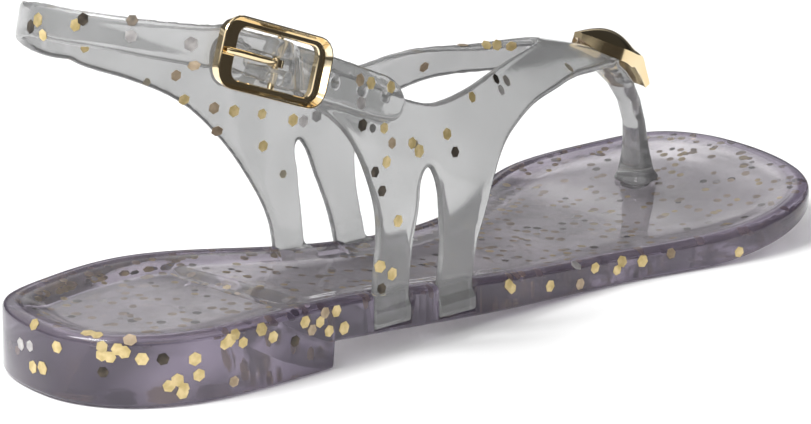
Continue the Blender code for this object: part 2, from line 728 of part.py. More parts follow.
def wings_and_strap():
    """The clear sheet: both wings with the bridge between them, and the ankle strap, as one closed body."""
    edge = wings_outline()
    rows = strap_rows()
    start_ring = strap_ring(rows[0], WALL)
    s0 = rows[0][1]
    low, high = rows[0][2], rows[0][3]
    per_degree = (wall_point(INNER, s0, high) - wall_point(INNER, s0, low)).length / (high - low)
    inset = EDGE_ROUND / per_degree
    cut = [high - inset - (high - low - 2 * inset) * k / STRAP_ACROSS for k in range(STRAP_ACROSS + 1)]
    edge = edge + [(s0, high)]
    ring_in = inward_points(edge, EDGE_ROUND)
    ring_in[0] = (s0, cut[-1])
    ring_in[-1] = (s0, cut[0])
    if signed_area(edge) < 0:
        raise ValueError("the wings' outline runs the wrong way")
    loop = ring_in + [(s0, d) for d in cut[1:-1]]
    polygon = [flat(p) for p in loop]
    inner_points = fill_points(polygon, FILL_STEP)
    boundary = list(range(len(polygon)))
    out = delaunay_2d_cdt(polygon + inner_points, [], [boundary], 1, 1e-6)
    places = [(v.x, v.y / DEGREE) for v in out[0]]
    triangles = [tuple(f) for f in out[2]]
    origin = {}
    for new, old in enumerate(out[3]):
        for index in old:
            origin[index] = new
    points = []
    faces = []
    for sign in (1, -1):
        base = len(points)
        points += [sheet_point(p, sign * WALL / 2) for p in places]
        faces += [tuple(base + i for i in t) for t in triangles]
    count = len(places)
    rim = len(points)
    points += [sheet_point(p, WALL / 4) for p in edge]
    points += [sheet_point(p, -WALL / 4) for p in edge]
    size = len(edge)
    for i in range(size - 1):
        j = i + 1
        top_i, top_j = origin[i], origin[j]
        faces.append((top_i, top_j, rim + j, rim + i))
        faces.append((rim + i, rim + j, rim + size + j, rim + size + i))
        faces.append((rim + size + i, rim + size + j, count + top_j, count + top_i))
    strap = [start_ring] + [strap_ring(row, strap_wall(i)) for i, row in enumerate(rows)][1:]
    strap_points, strap_faces = loft(strap, closed_ends=False)
    ring_size = len(start_ring)
    strap_faces.append(tuple(range(len(strap_points) - ring_size, len(strap_points))))
    base = len(points)
    points += strap_points
    faces += [tuple(base + i for i in f) for f in strap_faces]
    return new_object("upper", points, faces)


def buckle_matrix():
    """Buckle coordinates: x along the strap to the toe, y up across it, z out from the foot."""
    centre = last_point(OUTER, BUCKLE_AT, BUCKLE_DEGREE)
    out = (wall_point(OUTER, BUCKLE_AT, BUCKLE_DEGREE, 1.0) - centre).normalized()
    slope = math.radians(BUCKLE_SLOPE)
    along = Vector((math.cos(slope), 0, -math.sin(slope)))
    along = (along - out * along.dot(out)).normalized()
    up = out.cross(along)
    turn = Matrix((along, up, out)).transposed().to_4x4()
    return Matrix.Translation(centre) @ turn


def ring_body(name, radius, hole, width, height, place, matrix, sides=16):
    """A short tube round the bar."""
    rings = []
    for r, y in ((hole, -1), (radius, -1), (radius, 1), (hole, 1)):
        ring = []
        for i in range(sides):
            angle = 2 * math.pi * i / sides
            local = Vector((r * math.cos(angle), place + y * width / 2, height + r * math.sin(angle)))
            ring.append(matrix @ local)
        rings.append(ring)
    points, faces = loft(rings + [rings[0]], closed_ends=False)
    return new_object(name, points, faces)


def box_body(name, low, high, matrix):
    rings = []
    for x in (low[0], high[0]):
        corners = ((low[1], low[2]), (high[1], low[2]), (high[1], high[2]), (low[1], high[2]))
        rings.append([matrix @ Vector((x, y, z)) for y, z in corners])
    return new_object(name, *loft(rings))


def make_upper():
    upper = wings_and_strap()
    boolean(upper, toe_post(), "UNION")
    for side, start, end in LEG_FEET:
        boolean(upper, leg_foot("foot", side, start, end, 0.0), "UNION")
    place = buckle_matrix()
    loop_radius = BAR_RADIUS + GAP + LOOP_WALL
    for side in (-1, 1):
        low = (-1.5, side * LOOP_PLACE - LOOP_WIDTH / 2, 0.3)
        high = (1.5, side * LOOP_PLACE + LOOP_WIDTH / 2, BAR_HEIGHT)
        boolean(upper, box_body("loop_foot", low, high, place), "UNION")
        loop = cylinder_y("loop", loop_radius, LOOP_WIDTH, side * LOOP_PLACE, BAR_HEIGHT, place)
        boolean(upper, loop, "UNION")
    bore = cylinder_y("bore", BAR_RADIUS + GAP, FRAME_HIGH, 0.0, BAR_HEIGHT, place)
    boolean(upper, bore, "DIFFERENCE")
    slot_low = (-BUMP_REACH + 0.6, -PRONG_SLOT / 2, STRAP_WALL)
    slot_high = (PRONG_EYE + 0.8, PRONG_SLOT / 2, 12.0)
    boolean(upper, box_body("prong_slot", slot_low, slot_high, place), "DIFFERENCE")
    boolean(upper, rivet_cylinder("rivet_hole", RIVET_HOLE, -4.0, 4.0), "DIFFERENCE")
    seat = rivet_cylinder("rivet_seat", RIVET_HEAD + GAP, -8.0, GAP - WALL / 2 - RIVET_DROP)
    boolean(upper, seat, "DIFFERENCE")
    return upper


def cylinder_y(name, radius, width, place, height, matrix, sides=16):
    """A round bar along the buckle's y."""
    rings = []
    for y in (place - width / 2, place + width / 2):
        ring = []
        for i in range(sides):
            angle = 2 * math.pi * i / sides
            ring.append(matrix @ Vector((radius * math.cos(angle), y, height + radius * math.sin(angle))))
        rings.append(ring)
    return new_object(name, *loft(rings))


# Buckle


def rounded_rectangle(long, high, corner, centre, matrix, per_corner=6):
    """A ring of points round a rectangle with round corners."""
    ring = []
    centres = ((1, 1, 0), (-1, 1, 90), (-1, -1, 180), (1, -1, 270))
    for sx, sy, start in centres:
        for i in range(per_corner):
            angle = math.radians(start + 90 * i / (per_corner - 1))
            x = sx * (long / 2 - corner) + corner * math.cos(angle)
            y = sy * (high / 2 - corner) + corner * math.sin(angle)
            ring.append(matrix @ (Vector(centre) + Vector((x, y, 0.0))))
    return ring


def make_buckle_frame():
    """A frame with a flat face inside a raised rim, and the bar across it."""
    place = buckle_matrix()
    # How far in from the outer edge, height
    outside = [
        (RIM_LEAN, FRAME_LOW),
        (0.0, FRAME_RIM - 0.35),
        (0.1, FRAME_RIM),
        (RIM_TOP, FRAME_RIM),
        (RIM_TOP + RIM_RUN, FRAME_FACE),
    ]
    # How far out from the edge of the window, height
    window = [
        (0.25, FRAME_FACE),
        (0.0, FRAME_FACE - 0.25),
        (0.0, FRAME_LOW),
    ]
    rings = []
    for inset, z in outside:
        size = (FRAME_LONG - 2 * inset, FRAME_HIGH - 2 * inset)
        rings.append(rounded_rectangle(*size, FRAME_CORNER - inset, (-FRAME_BEHIND, 0.0, z), place))
    ahead = (SIDE_REAR - SIDE_FRONT) / 2 - FRAME_BEHIND
    for outset, z in window:
        long = FRAME_LONG - SIDE_REAR - SIDE_FRONT + 2 * outset
        high = FRAME_HIGH - 2 * SIDE_LONG + 2 * outset
        rings.append(rounded_rectangle(long, high, WINDOW_CORNER + outset, (ahead, 0.0, z), place))
    points, faces = loft(rings + [rings[0]], closed_ends=False)
    frame = new_object("buckle_frame", points, faces, 25)
    width = FRAME_HIGH - 2 * SIDE_LONG + SIDE_LONG
    boolean(frame, cylinder_y("bar", BAR_RADIUS, width, 0.0, BAR_HEIGHT, place), "UNION")
    return frame


def make_prong():
    """A pin with an eye round the bar, its tip over the rear side of the frame."""
    place = buckle_matrix()
    prong = ring_body("buckle_prong", PRONG_EYE, BAR_RADIUS + GAP, PRONG_SLOT - 0.7, BAR_HEIGHT, 0.0, place)
    tip = FRAME_FACE + GAP + PRONG_RADIUS
    rear = FRAME_LONG / 2 + FRAME_BEHIND
    reach = rear - RIM_TOP - RIM_RUN - GAP
    # Columns: distance behind the bar, height, radius
    path = [
        (1.5, BAR_HEIGHT + 1.0, PRONG_RADIUS * 0.9),
        (4.5, BAR_HEIGHT + 2.2, PRONG_RADIUS),
        (8.5, tip - 0.35, PRONG_RADIUS),
        (rear - SIDE_REAR, tip, PRONG_RADIUS),
        (reach - 0.6, tip, PRONG_RADIUS * 0.95),
        (reach, tip, PRONG_RADIUS * 0.6),
    ]
    rings = []
    for i, (back, height, radius) in enumerate(path):
        a = path[max(i - 1, 0)]
        b = path[min(i + 1, len(path) - 1)]
        along = Vector((-(b[0] - a[0]), 0, b[1] - a[1])).normalized()
        lift = Vector((along.z, 0, -along.x))
        ring = []
        for k in range(12):
            angle = 2 * math.pi * k / 12
            offset = Vector((0, radius * math.cos(angle), 0)) + lift * (radius * math.sin(angle))
            ring.append(place @ (Vector((-back, 0, height)) + offset))
        rings.append(ring)
    boolean(prong, new_object("pin", *loft(rings)), "UNION")
    return prong


# Ornament


def ornament_surface(row_share, across, out):
    """A point of the ornament: along it, across it from -1 to 1, and out from its underside."""
    place = row_share * (len(ORNAMENT) - 1)
    rows = [(i,) + r for i, r in enumerate(ORNAMENT)]
    x, z = column(rows, 1)(place), column(rows, 2)(place)
    half = max(column(rows, 3)(place), 0.5)
    step = 0.05
    ahead = Vector((column(rows, 1)(place + step), 0, column(rows, 2)(place + step)))
    behind = Vector((column(rows, 1)(place - step), 0, column(rows, 2)(place - step)))
    along = (ahead - behind).normalized()
    lift = Vector((-along.z, 0, along.x))
    sag = ORNAMENT_SAG * (half * across) ** 2
    return Vector((x, ORNAMENT_MIDDLE + half * across, z)) + lift * (out - sag)


def make_ornament():
    """A domed cap over the bridge, whose front folds down over the toe post as a plate."""
    rows = 26
    rise = column([(i, r[3]) for i, r in enumerate(ORNAMENT)], 1)
    edge = column([(i, r[4]) for i, r in enumerate(ORNAMENT)], 1)
    tops, bottoms = [], []
    for i in range(rows + 1):
        share = i / rows
        peak = rise(share * (len(ORNAMENT) - 1))
        wall = edge(share * (len(ORNAMENT) - 1))
        top, bottom = [], []
        for k in range(ORNAMENT_ACROSS + 1):
            across = -1 + 2 * k / ORNAMENT_ACROSS
            dome = peak * (1 - abs(across) ** 1.7)
            top.append(ornament_surface(share, across, wall + dome))
            skirt = ORNAMENT_SKIRT * min(peak / 2, 1.0) if abs(across) == 1 else 0.0
            bottom.append(ornament_surface(share, across, -skirt))
        tops.append(top)
        bottoms.append(bottom)
    rings = [top + bottom[::-1] for top, bottom in zip(tops, bottoms)]
    return new_object("ornament", *loft(rings), 25)


def rivet_cylinder(name, radius, low, high, head=None):
    """A round pin square to the bridge at RIVET_AT, with a head at its lower end if head is given."""
    centre = sheet_point((RIVET_AT, 90.0))
    out = (sheet_point((RIVET_AT, 90.0), 1.0) - centre).normalized()
    side = out.cross(Vector((0, 1, 0))).normalized()
    other = out.cross(side)
    profile = [(radius, low), (radius, high)]
    if head:
        neck = low + RIVET_HEAD_THICK
        profile = [(head, low), (head, neck), (radius, neck), (radius, high)]
    rings = []
    for r, level in profile:
        ring = []
        for i in range(16):
            angle = 2 * math.pi * i / 16
            ring.append(centre + out * level + side * (r * math.cos(angle)) + other * (r * math.sin(angle)))
        rings.append(ring)
    return new_object(name, *loft(rings))


def make_rivet():
    low = -WALL / 2 - RIVET_DROP - RIVET_HEAD_THICK
    return rivet_cylinder("ornament_rivet", RIVET_RADIUS, low, WALL / 2, RIVET_HEAD)


# Materials and placing


def material(name, colour, roughness, metallic, clear=0.0):
    made = bpy.data.materials.new(name)
    made.use_nodes = True
    shader = made.node_tree.nodes["Principled BSDF"]
    shader.inputs["Base Color"].default_value = (*colour, 1.0)
    shader.inputs["Roughness"].default_value = roughness
    shader.inputs["Metallic"].default_value = metallic
    shader.inputs["Transmission Weight"].default_value = clear
    made.diffuse_color = (*colour, 1.0)
    return made


def rest_on_origin(things):
    """Moves the shoe so that the origin is under the middle of its box."""
    points = [v.co for thing in things for v in thing.data.vertices]
    low = Vector([min(p[i] for p in points) for i in range(3)])
    high = Vector([max(p[i] for p in points) for i in range(3)])
    shift = Vector((-(low.x + high.x) / 2, -(low.y + high.y) / 2, -low.z))
    for thing in things:
        for vertex in thing.data.vertices:
            vertex.co += shift


def main():
    for thing in list(bpy.data.objects):
        bpy.data.objects.remove(thing)
    clear_plastic = material("clear_plastic", (0.82, 0.82, 0.84), 0.08, 0.0, 0.9)
    tinted_plastic = material("tinted_plastic", (0.50, 0.44, 0.58), 0.12, 0.0, 0.8)
    gold = material("gold", (0.85, 0.70, 0.42), 0.12, 1.0)
    pieces = [
        (make_sole(), tinted_plastic),
        (make_upper(), clear_plastic),
        (make_buckle_frame(), gold),
        (make_prong(), gold),
        (make_ornament(), gold),
        (make_rivet(), gold),
    ]
    things = []
    for thing, finish in pieces:
        thing.data.materials.clear()
        thing.data.materials.append(finish)
        things.append(thing)
    rest_on_origin(things)


main()
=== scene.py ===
"""Jelly sandal, dressed: rounded clear upper, tinted sole with a moulded footbed, metal fittings and flakes.

The upper and the sole are built again from the same named sizes as the solids, with finer steps and round
edges. Sizes are in millimetres in the shoe's own frame: X from the heel to the toe, Y to the inner side.
"""
import math
import random

import bmesh
import bpy
import numpy as np
from mathutils import Matrix, Vector
from mathutils.bvhtree import BVHTree
from mathutils.geometry import delaunay_2d_cdt


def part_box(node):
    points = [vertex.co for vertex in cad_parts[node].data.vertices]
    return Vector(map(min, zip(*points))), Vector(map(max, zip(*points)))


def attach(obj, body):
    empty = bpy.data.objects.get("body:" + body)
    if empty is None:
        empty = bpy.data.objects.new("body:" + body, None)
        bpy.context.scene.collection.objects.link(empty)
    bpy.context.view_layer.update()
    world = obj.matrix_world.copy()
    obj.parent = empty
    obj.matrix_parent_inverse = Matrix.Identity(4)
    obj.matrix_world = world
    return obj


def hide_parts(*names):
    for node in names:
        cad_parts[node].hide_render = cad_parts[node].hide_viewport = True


MM = 0.001
GAP = 0.3  # clearance between pieces that touch on the real shoe
INNER, OUTER = 1, -1  # the sides of the foot: the big toe's side is +Y

# Driving sizes of the sole
LENGTH = 248.0
HEEL_FRONT = 63.0  # where the heel block ends
BREAST_RUN = 0.6  # how far the face of the heel block leans over its height
FLAT_FROM, FLAT_TO = 158.0, 188.0  # the forefoot's flat spot on the floor
ARCH_RISE = 6.6  # underside just in front of the heel block
TOE_SPRING = 11.4  # underside at the tip of the toe
HEEL_CUP, FOREFOOT_DISH = 2.6, 1.5  # how deep the footbed lies under its rim
CUP_EDGE = 59.0  # where the heel cup steps up to the front part

# Share of the way round from heel to toe, width to the inner side, width to the outer side
OUTLINE = [
    (0.0, 0.0, 0.0),
    (0.1, 23.0, 17.1),
    (0.2, 30.6, 28.4),
    (0.3, 31.0, 31.1),
    (0.4, 19.6, 30.9),
    (0.5, 17.8, 31.4),
    (0.6, 28.6, 31.6),
    (0.7, 44.8, 38.8),
    (0.8, 40.0, 38.4),
    (0.9, 28.8, 23.4),
    (1.0, 7.2, -7.2),
]

# Distance from the heel, height of the sole's upper rim
RIM = [(0, 17.0), (30, 17.2), (62, 17.0), (88, 14.8), (112, 12.2), (154, 8.5), (198, 8.8), (248, 15.3)]

# The last, as sections across the foot. Columns: distance from the heel, height of the crest, how far the
# crest lies to the inner side, height of the sole's edge, reach to the outer side and to the inner side
# at the sole, how far the inner side bulges halfway up, and how round the section is.
LAST = [
    (30, 165.0, 0.0, 17.0, -30.0, 27.5, 0.0, 0.60),
    (60, 130.0, 0.0, 16.5, -30.5, 26.0, 1.5, 0.60),
    (80, 106.0, 1.0, 15.0, -29.8, 20.5, 3.5, 0.60),
    (100, 88.0, 2.0, 13.0, -29.5, 17.5, 5.0, 0.60),
    (120, 75.0, 3.5, 11.0, -29.6, 16.5, 6.0, 0.75),
    (140, 65.8, 5.5, 9.5, -28.0, 19.0, 5.5, 0.90),
    (160, 58.4, 7.5, 8.5, -25.0, 22.0, 4.0, 1.00),
    (180, 52.6, 9.0, 8.0, -20.0, 26.0, 2.0, 1.10),
    (200, 46.2, 10.0, 8.0, -12.0, 28.0, 0.0, 1.10),
    (215, 39.0, 10.5, 9.0, -8.0, 28.0, 0.0, 1.10),
]
ANKLE_X, ANKLE_REACH, ANKLE_TURN = 30.0, 28.0, 30.0  # behind ANKLE_X the last turns round the heel
ANKLE_LEAN, ANKLE_HEIGHT = 0.25, 80.0  # how fast the back comes forward with height, and from where
HEEL_BACK = ANKLE_X - ANKLE_TURN * math.pi / 2
HEEL_SHIFT = 2.0  # the back of the ankle loop lies this far to the inner side

# The upper's wall
WALL = 2.4
STRAP_WALL = 2.0
EDGE_ROUND = 0.9
OUTLINE_STEP = 1.7
FILL_STEP = 3.0
DEGREE = 1.6  # about how many millimetres a degree of the last's section is

# Edges of the two wings. Columns: distance from the heel, degrees up the side of the last
OUTER_REAR_EDGE = [(76.8, -3), (77.0, 3), (78.2, 9), (77.2, 14.5), (74.5, 18.7), (71.0, 21.8), (66.0, 23.8)]
OUTER_ARM_LOWER = [(66.0, 23.8), (60.0, 24.5), (50.0, 24.2), (40.0, 23.4), (31.0, 23.0)]
OUTER_ARM_END = [(31.0, 23.0), (27.6, 23.6), (26.4, 25.6), (27.6, 27.6), (31.0, 28.2)]
OUTER_ARM_UPPER = [(31.0, 28.2), (45.0, 29.2), (60.0, 30.8), (78.0, 33.4), (91.0, 35.1), (99.0, 36.6)]
OUTER_TOP_EDGE = [(99.0, 36.6), (104.0, 38.8), (112.0, 43.3), (126.4, 52.8), (145.0, 65.0), (160.0, 76.0)]
OUTER_FRONT_EDGE = [
    (110.5, -3),
    (110.7, 2),
    (112.6, 8.8),
    (115.9, 15.3),
    (118.3, 20.2),
    (121.9, 26.7),
    (126.3, 32.4),
    (133.8, 38.8),
    (144.7, 46.1),
    (157.7, 52.8),
    (172.4, 60.0),
]
OUTER_SLOT = [(88.9, -3), (89.2, 3), (91.0, 10), (93.0, 16), (95.0, 21.5), (97.0, 22.8), (98.6, 21.2)]
OUTER_SLOT_FRONT = [(98.6, 21.2), (99.8, 15), (100.0, 9), (99.2, 3), (98.4, -3)]
INNER_REAR_EDGE = [(88.6, -3), (88.4, 3), (86.6, 7), (82.1, 11.9), (77.7, 15.4), (73.2, 17.8), (68.7, 19.5)]
INNER_ARM_LOWER = [(68.7, 19.5), (64.1, 20.5), (58.0, 21.0)]
INNER_ARM_UPPER = [(58.0, 27.4), (68.0, 28.6), (80.0, 30.4), (95.0, 34.0), (108.0, 38.6), (119.7, 43.8)]
INNER_TOP_EDGE = [(119.7, 43.8), (125.8, 47.7), (136.6, 54.6), (145.6, 59.4), (158.0, 66.0), (167.0, 76.0)]
INNER_FRONT_EDGE = [
    (118.5, -3),
    (118.2, 2),
    (117.4, 8),
    (117.0, 14),
    (117.4, 19.5),
    (120.0, 26.5),
    (127.0, 33.6),
    (136.0, 39.2),
    (144.4, 43.8),
    (153.7, 47.8),
    (168.0, 52.0),
]
INNER_SLOT = [(98.2, -3), (98.3, 4), (98.0, 10), (97.6, 15.5), (97.4, 19.0), (98.6, 20.6), (100.2, 19.6)]
INNER_SLOT_FRONT = [(100.2, 19.6), (102.6, 15.5), (105.0, 10.5), (107.0, 5), (108.2, -3)]

# The front of the joined straps, from the inner side over the crest to the outer side
BRIDGE_FRONT = [(168.0, 52.0), (184.0, 60.0), (196.0, 70.0), (202.0, 80.0)]
BRIDGE_FRONT_OUTER = [(202.0, 100.0), (196.0, 109.0), (184.0, 116.0), (172.4, 120.0)]
CROTCH = (171.0, 90.0)

# The ankle strap from the inner wing round the heel to its free tip. Columns: distance along the last
# (behind HEEL_BACK it is counted on past the back of the heel), lower edge, upper edge in degrees, and
# how far the strap stands out from the wall of the upper
STRAP_INNER = [
    (58.0, 21.0, 27.4, 0.0),
    (48.0, 21.1, 26.9, 0.0),
    (38.0, 21.0, 26.4, 0.0),
    (28.0, 21.5, 26.4, 0.0),
    (18.0, 23.0, 27.6, 0.0),
    (8.0, 24.8, 29.1, 0.0),
    (-2.0, 26.2, 29.9, 0.0),
    (-10.0, 27.0, 30.5, 0.0),
]
STRAP_OUTER = [
    (-10.0, 27.2, 30.8, 0.2),
    (-2.0, 27.2, 30.8, 0.7),
    (8.0, 26.7, 30.5, 1.5),
    (18.0, 25.9, 30.1, 2.3),
    (28.0, 25.0, 29.6, 2.75),
    (40.0, 24.8, 30.2, 2.75),
    (50.0, 25.0, 31.2, 2.75),
    (60.0, 25.6, 32.6, 2.75),
    (70.0, 26.6, 34.4, 2.75),
    (80.0, 28.0, 36.4, 2.75),
    (87.0, 29.4, 37.8, 2.75),
]
STRAP_ROWS = 170
STRAP_ACROSS = 8
TIP_LENGTH = 7.0

# Buckle, placed on the outer arm. Heights are measured from the middle of the arm's wall
BUCKLE_AT = 42.9  # its bar's distance from the heel along the last
BUCKLE_DEGREE = 27.55
BUCKLE_SLOPE = 20.5  # degrees that the buckle's length falls towards the toe
BAR_RADIUS = 0.8
BAR_HEIGHT = 4.2
LOOP_WALL = 0.8
LOOP_WIDTH = 2.2
LOOP_PLACE = 3.4  # each moulded loop's middle from the middle of the bar
PRONG_EYE = 1.9
STRAP_BUMP = 4.6  # how far the strap rises over the bar
BUMP_REACH = 9.5
PRONG_SLOT = 2.5

# Toe post. Columns: distance from the heel, to the inner side, height, half width, half depth
POST = [
    (214.0, 10.6, 5.2, 4.0, 3.6),
    (214.0, 10.6, 9.5, 4.0, 3.6),
    (214.0, 10.6, 9.55, 6.2, 5.2),
    (214.0, 10.6, 10.5, 6.0, 5.0),
    (213.9, 10.6, 11.0, 5.3, 4.2),
    (213.8, 10.6, 13.6, 4.7, 3.5),
    (213.3, 10.5, 19.0, 3.8, 2.7),
    (212.2, 10.4, 26.0, 3.4, 2.3),
    (209.8, 10.3, 32.5, 3.8, 2.0),
    (206.2, 10.2, 37.8, 4.8, 1.8),
    (201.8, 10.1, 42.0, 5.9, 1.7),
    (196.6, 9.9, 45.8, 6.2, 1.45),
    (191.6, 9.6, 48.6, 5.0, 0.9),
]
COLLAR_TOP = 12.0
FOOTBED_SLOPE = 0.14  # the toe spring under the collar
POST_SIDES = 32
POST_SHAPE = 2.6  # 2 is an ellipse, more is squarer

# Feet of the legs, where they are held in notches of the sole's side. Columns: side, from, to
LEG_FEET = [
    (OUTER, 76.6, 89.0),
    (OUTER, 98.2, 110.7),
    (INNER, 88.4, 98.4),
    (INNER, 108.0, 118.6),
]
FOOT_PROUD, FOOT_DEEP = 0.5, 4.4
FOOT_BOTTOM, FOOT_TOP = 1.8, 0.6  # over the underside, under the rim
LEDGE_LOW, LEDGE_HIGH, LEDGE_IN = 4.4, 2.7, 0.9

# Sizes that only the dressed shoe has
SOLE_STATIONS = 230
FOOTBED_ACROSS, UNDERSIDE_ACROSS = 14, 4
GROOVE_DEEP = 0.45  # the line inside the rim
# Inset from the outline, whether it is measured from the rim (1) or the underside (0), height from there
FINE_RINGS = [
    (6.0, 0, 0.0),
    (1.8, 0, 0.0),
    (0.9, 0, 0.12),
    (0.3, 0, 0.45),
    (0.0, 0, 1.1),
    (0.0, 1, -1.9),
    (0.12, 1, -1.2),
    (0.45, 1, -0.65),
    (1.0, 1, -0.28),
    (1.8, 1, -0.07),
    (2.8, 1, 0.0),
    (3.7, 1, -0.05),
    (4.2, 1, -0.35),
    (4.7, 1, -GROOVE_DEEP),
]
BAND = [5.4, 6.2, 7.2, 8.4, 9.6, 10.8, 12.0]  # insets of the ridged band inside the rim
# Insets between which the band's grain comes in and goes out, and where it starts along the shoe
GRAIN_IN, GRAIN_OUT, GRAIN_FORE = (4.5, 5.2), (11.5, 12.5), (95, 110)
GRAIN_STRENGTH = 0.5
TOP_REACH = 4.5  # the grain is marked this far down from the rim
WALL_FADE = (2.0, 7.5)  # insets over which the wall's painted shade turns into the footbed
VOXEL = 0.00052  # metres
SMOOTHING = 12
TIP_HOLES = [(62.0, 29.1), (71.0, 30.4), (79.5, 31.9)]  # along the strap, degrees
HOLE_RADIUS, HOLE_SIDES = 1.15, 16
HOLE_FROM, HOLE_TO = -1.25, 3.0  # from the middle of the strap's wall, outwards
TIP_OUT = 2.75  # how far the free end stands out from the wall of the upper
FLAKE_RADIUS, FLAKE_THICK = 1.55, 0.16
PHOTO_WIDE, PHOTO_HIGH = 811, 424

# Camera, in the shoe's frame
CAMERA_TARGET = (116.8, 0.0, 21.6)
CAMERA_AZIMUTH, CAMERA_ELEVATION, CAMERA_ROLL = -44.35, 16.51, 0.644
CAMERA_AWAY = 1.0  # metres
CAMERA_LENS, CAMERA_SENSOR = 176.9, 36.0

# Larger flakes, placed where the camera sees them. Columns: picture column, picture row, finish
SOLE_FLAKES = [
    (33, 326, "gold"), (21, 344, "silver"), (30, 346, "silver"), (57, 347, "gold"), (33, 367, "gold"),
    (42.5, 368, "gold"), (95, 337, "gold"), (101, 343, "gold"), (118, 347, "gold"), (124, 352, "gold"),
    (102, 355, "gold"), (110, 357, "gold"), (142, 359, "gold"), (163, 359, "dark"), (103, 372, "dark"),
    (195, 359, "gold"), (199, 375, "gold"), (169, 386, "gold"), (177.5, 380, "gold"), (182.5, 393, "gold"),
    (235, 334.5, "gold"), (225, 344, "gold"), (243, 342.5, "gold"), (262, 325, "gold"), (273, 337, "gold"),
    (295, 341, "dark"), (305, 322, "gold"), (325, 313, "brown"), (336, 309, "gold"), (344, 328, "gold"),
    (329, 331, "gold"), (234, 381.5, "brown"), (509, 281, "gold"), (512, 288.5, "gold"), (550, 286, "gold"),
    (576, 265, "silver"), (580, 284, "brown"), (595, 268, "gold"), (617, 270, "gold"), (622, 261.5, "gold"),
    (642, 259, "gold"), (671.5, 250, "brown"), (739, 252, "gold"), (765, 247, "gold"), (130, 340, "brown"),
    (312, 330, "brown"), (184, 388, "gold"), (229, 338, "gold"), (88, 333, "gold"), (320, 322, "gold"),
]
UPPER_FLAKES = [
    (38, 20, "gold"), (43, 35, "gold"), (30, 29, "dark"), (75.5, 25, "gold"), (84, 17, "dark"),
    (85, 47, "gold"), (132, 21, "dark"), (131, 36, "silver"), (191, 44, "silver"), (194, 65.5, "brown"),
    (176, 75.5, "brown"), (184, 99.5, "gold"), (217, 131, "brown"), (214, 108, "brown"), (234, 111, "gold"),
    (262, 114, "gold"), (293, 120, "gold"), (303.5, 121, "silver"), (263, 146, "gold"), (360, 80, "brown"),
    (371, 83, "gold"), (391, 87, "gold"), (361, 103, "silver"), (363, 121, "dark"), (384, 128, "gold"),
    (392, 143, "brown"), (412, 143, "gold"), (419, 151, "gold"), (386.5, 162, "gold"), (375, 172, "dark"),
    (382, 191, "dark"), (398, 221, "gold"), (371, 202, "brown"), (380, 266.5, "gold"), (392, 274, "gold"),
    (380, 288.5, "dark"), (447, 134, "gold"), (455, 152, "dark"), (472, 97, "gold"), (501, 90, "silver"),
    (496, 79, "dark"), (424, 67, "brown"), (463, 45, "brown"), (486.5, 45, "gold"), (497, 45, "gold"),
    (513, 45, "gold"),
]
FOOTBED_FLAKES, WALL_FLAKES, STRAP_FLAKES = 580, 90, 8
# The dark finish among the shares is a painted dark reflection, not a separate glitter colour
FINISH_SHARES = {"gold": 0.55, "brown": 0.25, "dark": 0.1, "silver": 0.1}
FOOTBED_SHARES = {"gold": 0.2, "brown": 0.6, "dark": 0.08, "silver": 0.12}
SEEN_RISE, SEEN_TILT = 0.04, 2.5  # mm of its middle over the skin, degrees
SEEN_SIZES, HIDDEN_SIZES = (0.9, 1.15), (0.7, 1.1)  # shares of the flakes' radius
EDGE_MISS = 0.35  # how far from the skin a flake's corner may lie
EDGE_PUSH = 0.35  # share of its radius that a flake moves off an edge at a time
# The dark finish is painted reflection: near-black flakes that stand in for glitter mirroring dark
# surroundings
FLAKE_COLOURS = {
    "gold": ((0.50, 0.385, 0.165), (0.71, 0.57, 0.30)),
    "brown": ((0.30, 0.23, 0.15), (0.48, 0.38, 0.27)),
    "dark": ((0.03, 0.025, 0.02), (0.10, 0.08, 0.06)),
    "silver": ((0.36, 0.34, 0.34), (0.58, 0.56, 0.55)),
}

PLASTIC_IOR = 1.46
RELIEF = 0.0006  # metres that the bumps rise at full strength
METAL_SMOOTH, METAL_EDGE_ANGLE = 32, 28  # degrees
METAL_EDGE = 0.00018  # metres

# The stage, in metres. The sky goes from the low to the high pair: sine of the elevation, strength
SKY_LOW, SKY_HIGH = (0.18, 0.10), (0.42, 1.10)
# The dark part of the sky: its middle, the cosines at its edge's end and start, the share of light left
DARK_SKY = (0.72, 0.0, 0.69)
DARK_SKY_END, DARK_SKY_START, DARK_SKY_SHARE = 0.74, 0.85, 0.04
# The dark card: its two ends on the floor and its height
CARD_FROM, CARD_TO, CARD_HIGH = (-0.06, -0.42), (0.42, -0.12), 0.24
FLOOR_HALF, FLOOR_DROP = 12.0, 0.0002
LIGHT_AIM = (0.0, 0.0, 0.03)
# Name, place, size, power in watts
LIGHTS = [
    ("key", (-0.80, 0.20, 1.10), (0.6, 0.5), 17.0),
    ("side", (-1.1, -0.2, 0.7), (0.5, 0.5), 1.5),
]


class Curve:
    """A natural cubic through (place, value) rows, held at its ends."""

    def __init__(self, rows):
        self.at = np.array([float(r[0]) for r in rows])
        self.value = np.array([float(r[1]) for r in rows])
        count = len(rows)
        step = np.diff(self.at)
        left = np.eye(count)
        right = np.zeros(count)
        for i in range(1, count - 1):
            left[i, i - 1] = step[i - 1]
            left[i, i] = 2 * (step[i - 1] + step[i])
            left[i, i + 1] = step[i]
            ahead = (self.value[i + 1] - self.value[i]) / step[i]
            behind = (self.value[i] - self.value[i - 1]) / step[i - 1]
            right[i] = 6 * (ahead - behind)
        self.bend = np.linalg.solve(left, right)

    def __call__(self, x):
        x = min(max(x, self.at[0]), self.at[-1])
        i = min(max(int(np.searchsorted(self.at, x)) - 1, 0), len(self.at) - 2)
        h = self.at[i + 1] - self.at[i]
        a = self.at[i + 1] - x
        b = x - self.at[i]
        cubic = (self.bend[i] * a**3 + self.bend[i + 1] * b**3) / (6 * h)
        start = (self.value[i] / h - self.bend[i] * h / 6) * a
        end = (self.value[i + 1] / h - self.bend[i + 1] * h / 6) * b
        return cubic + start + end


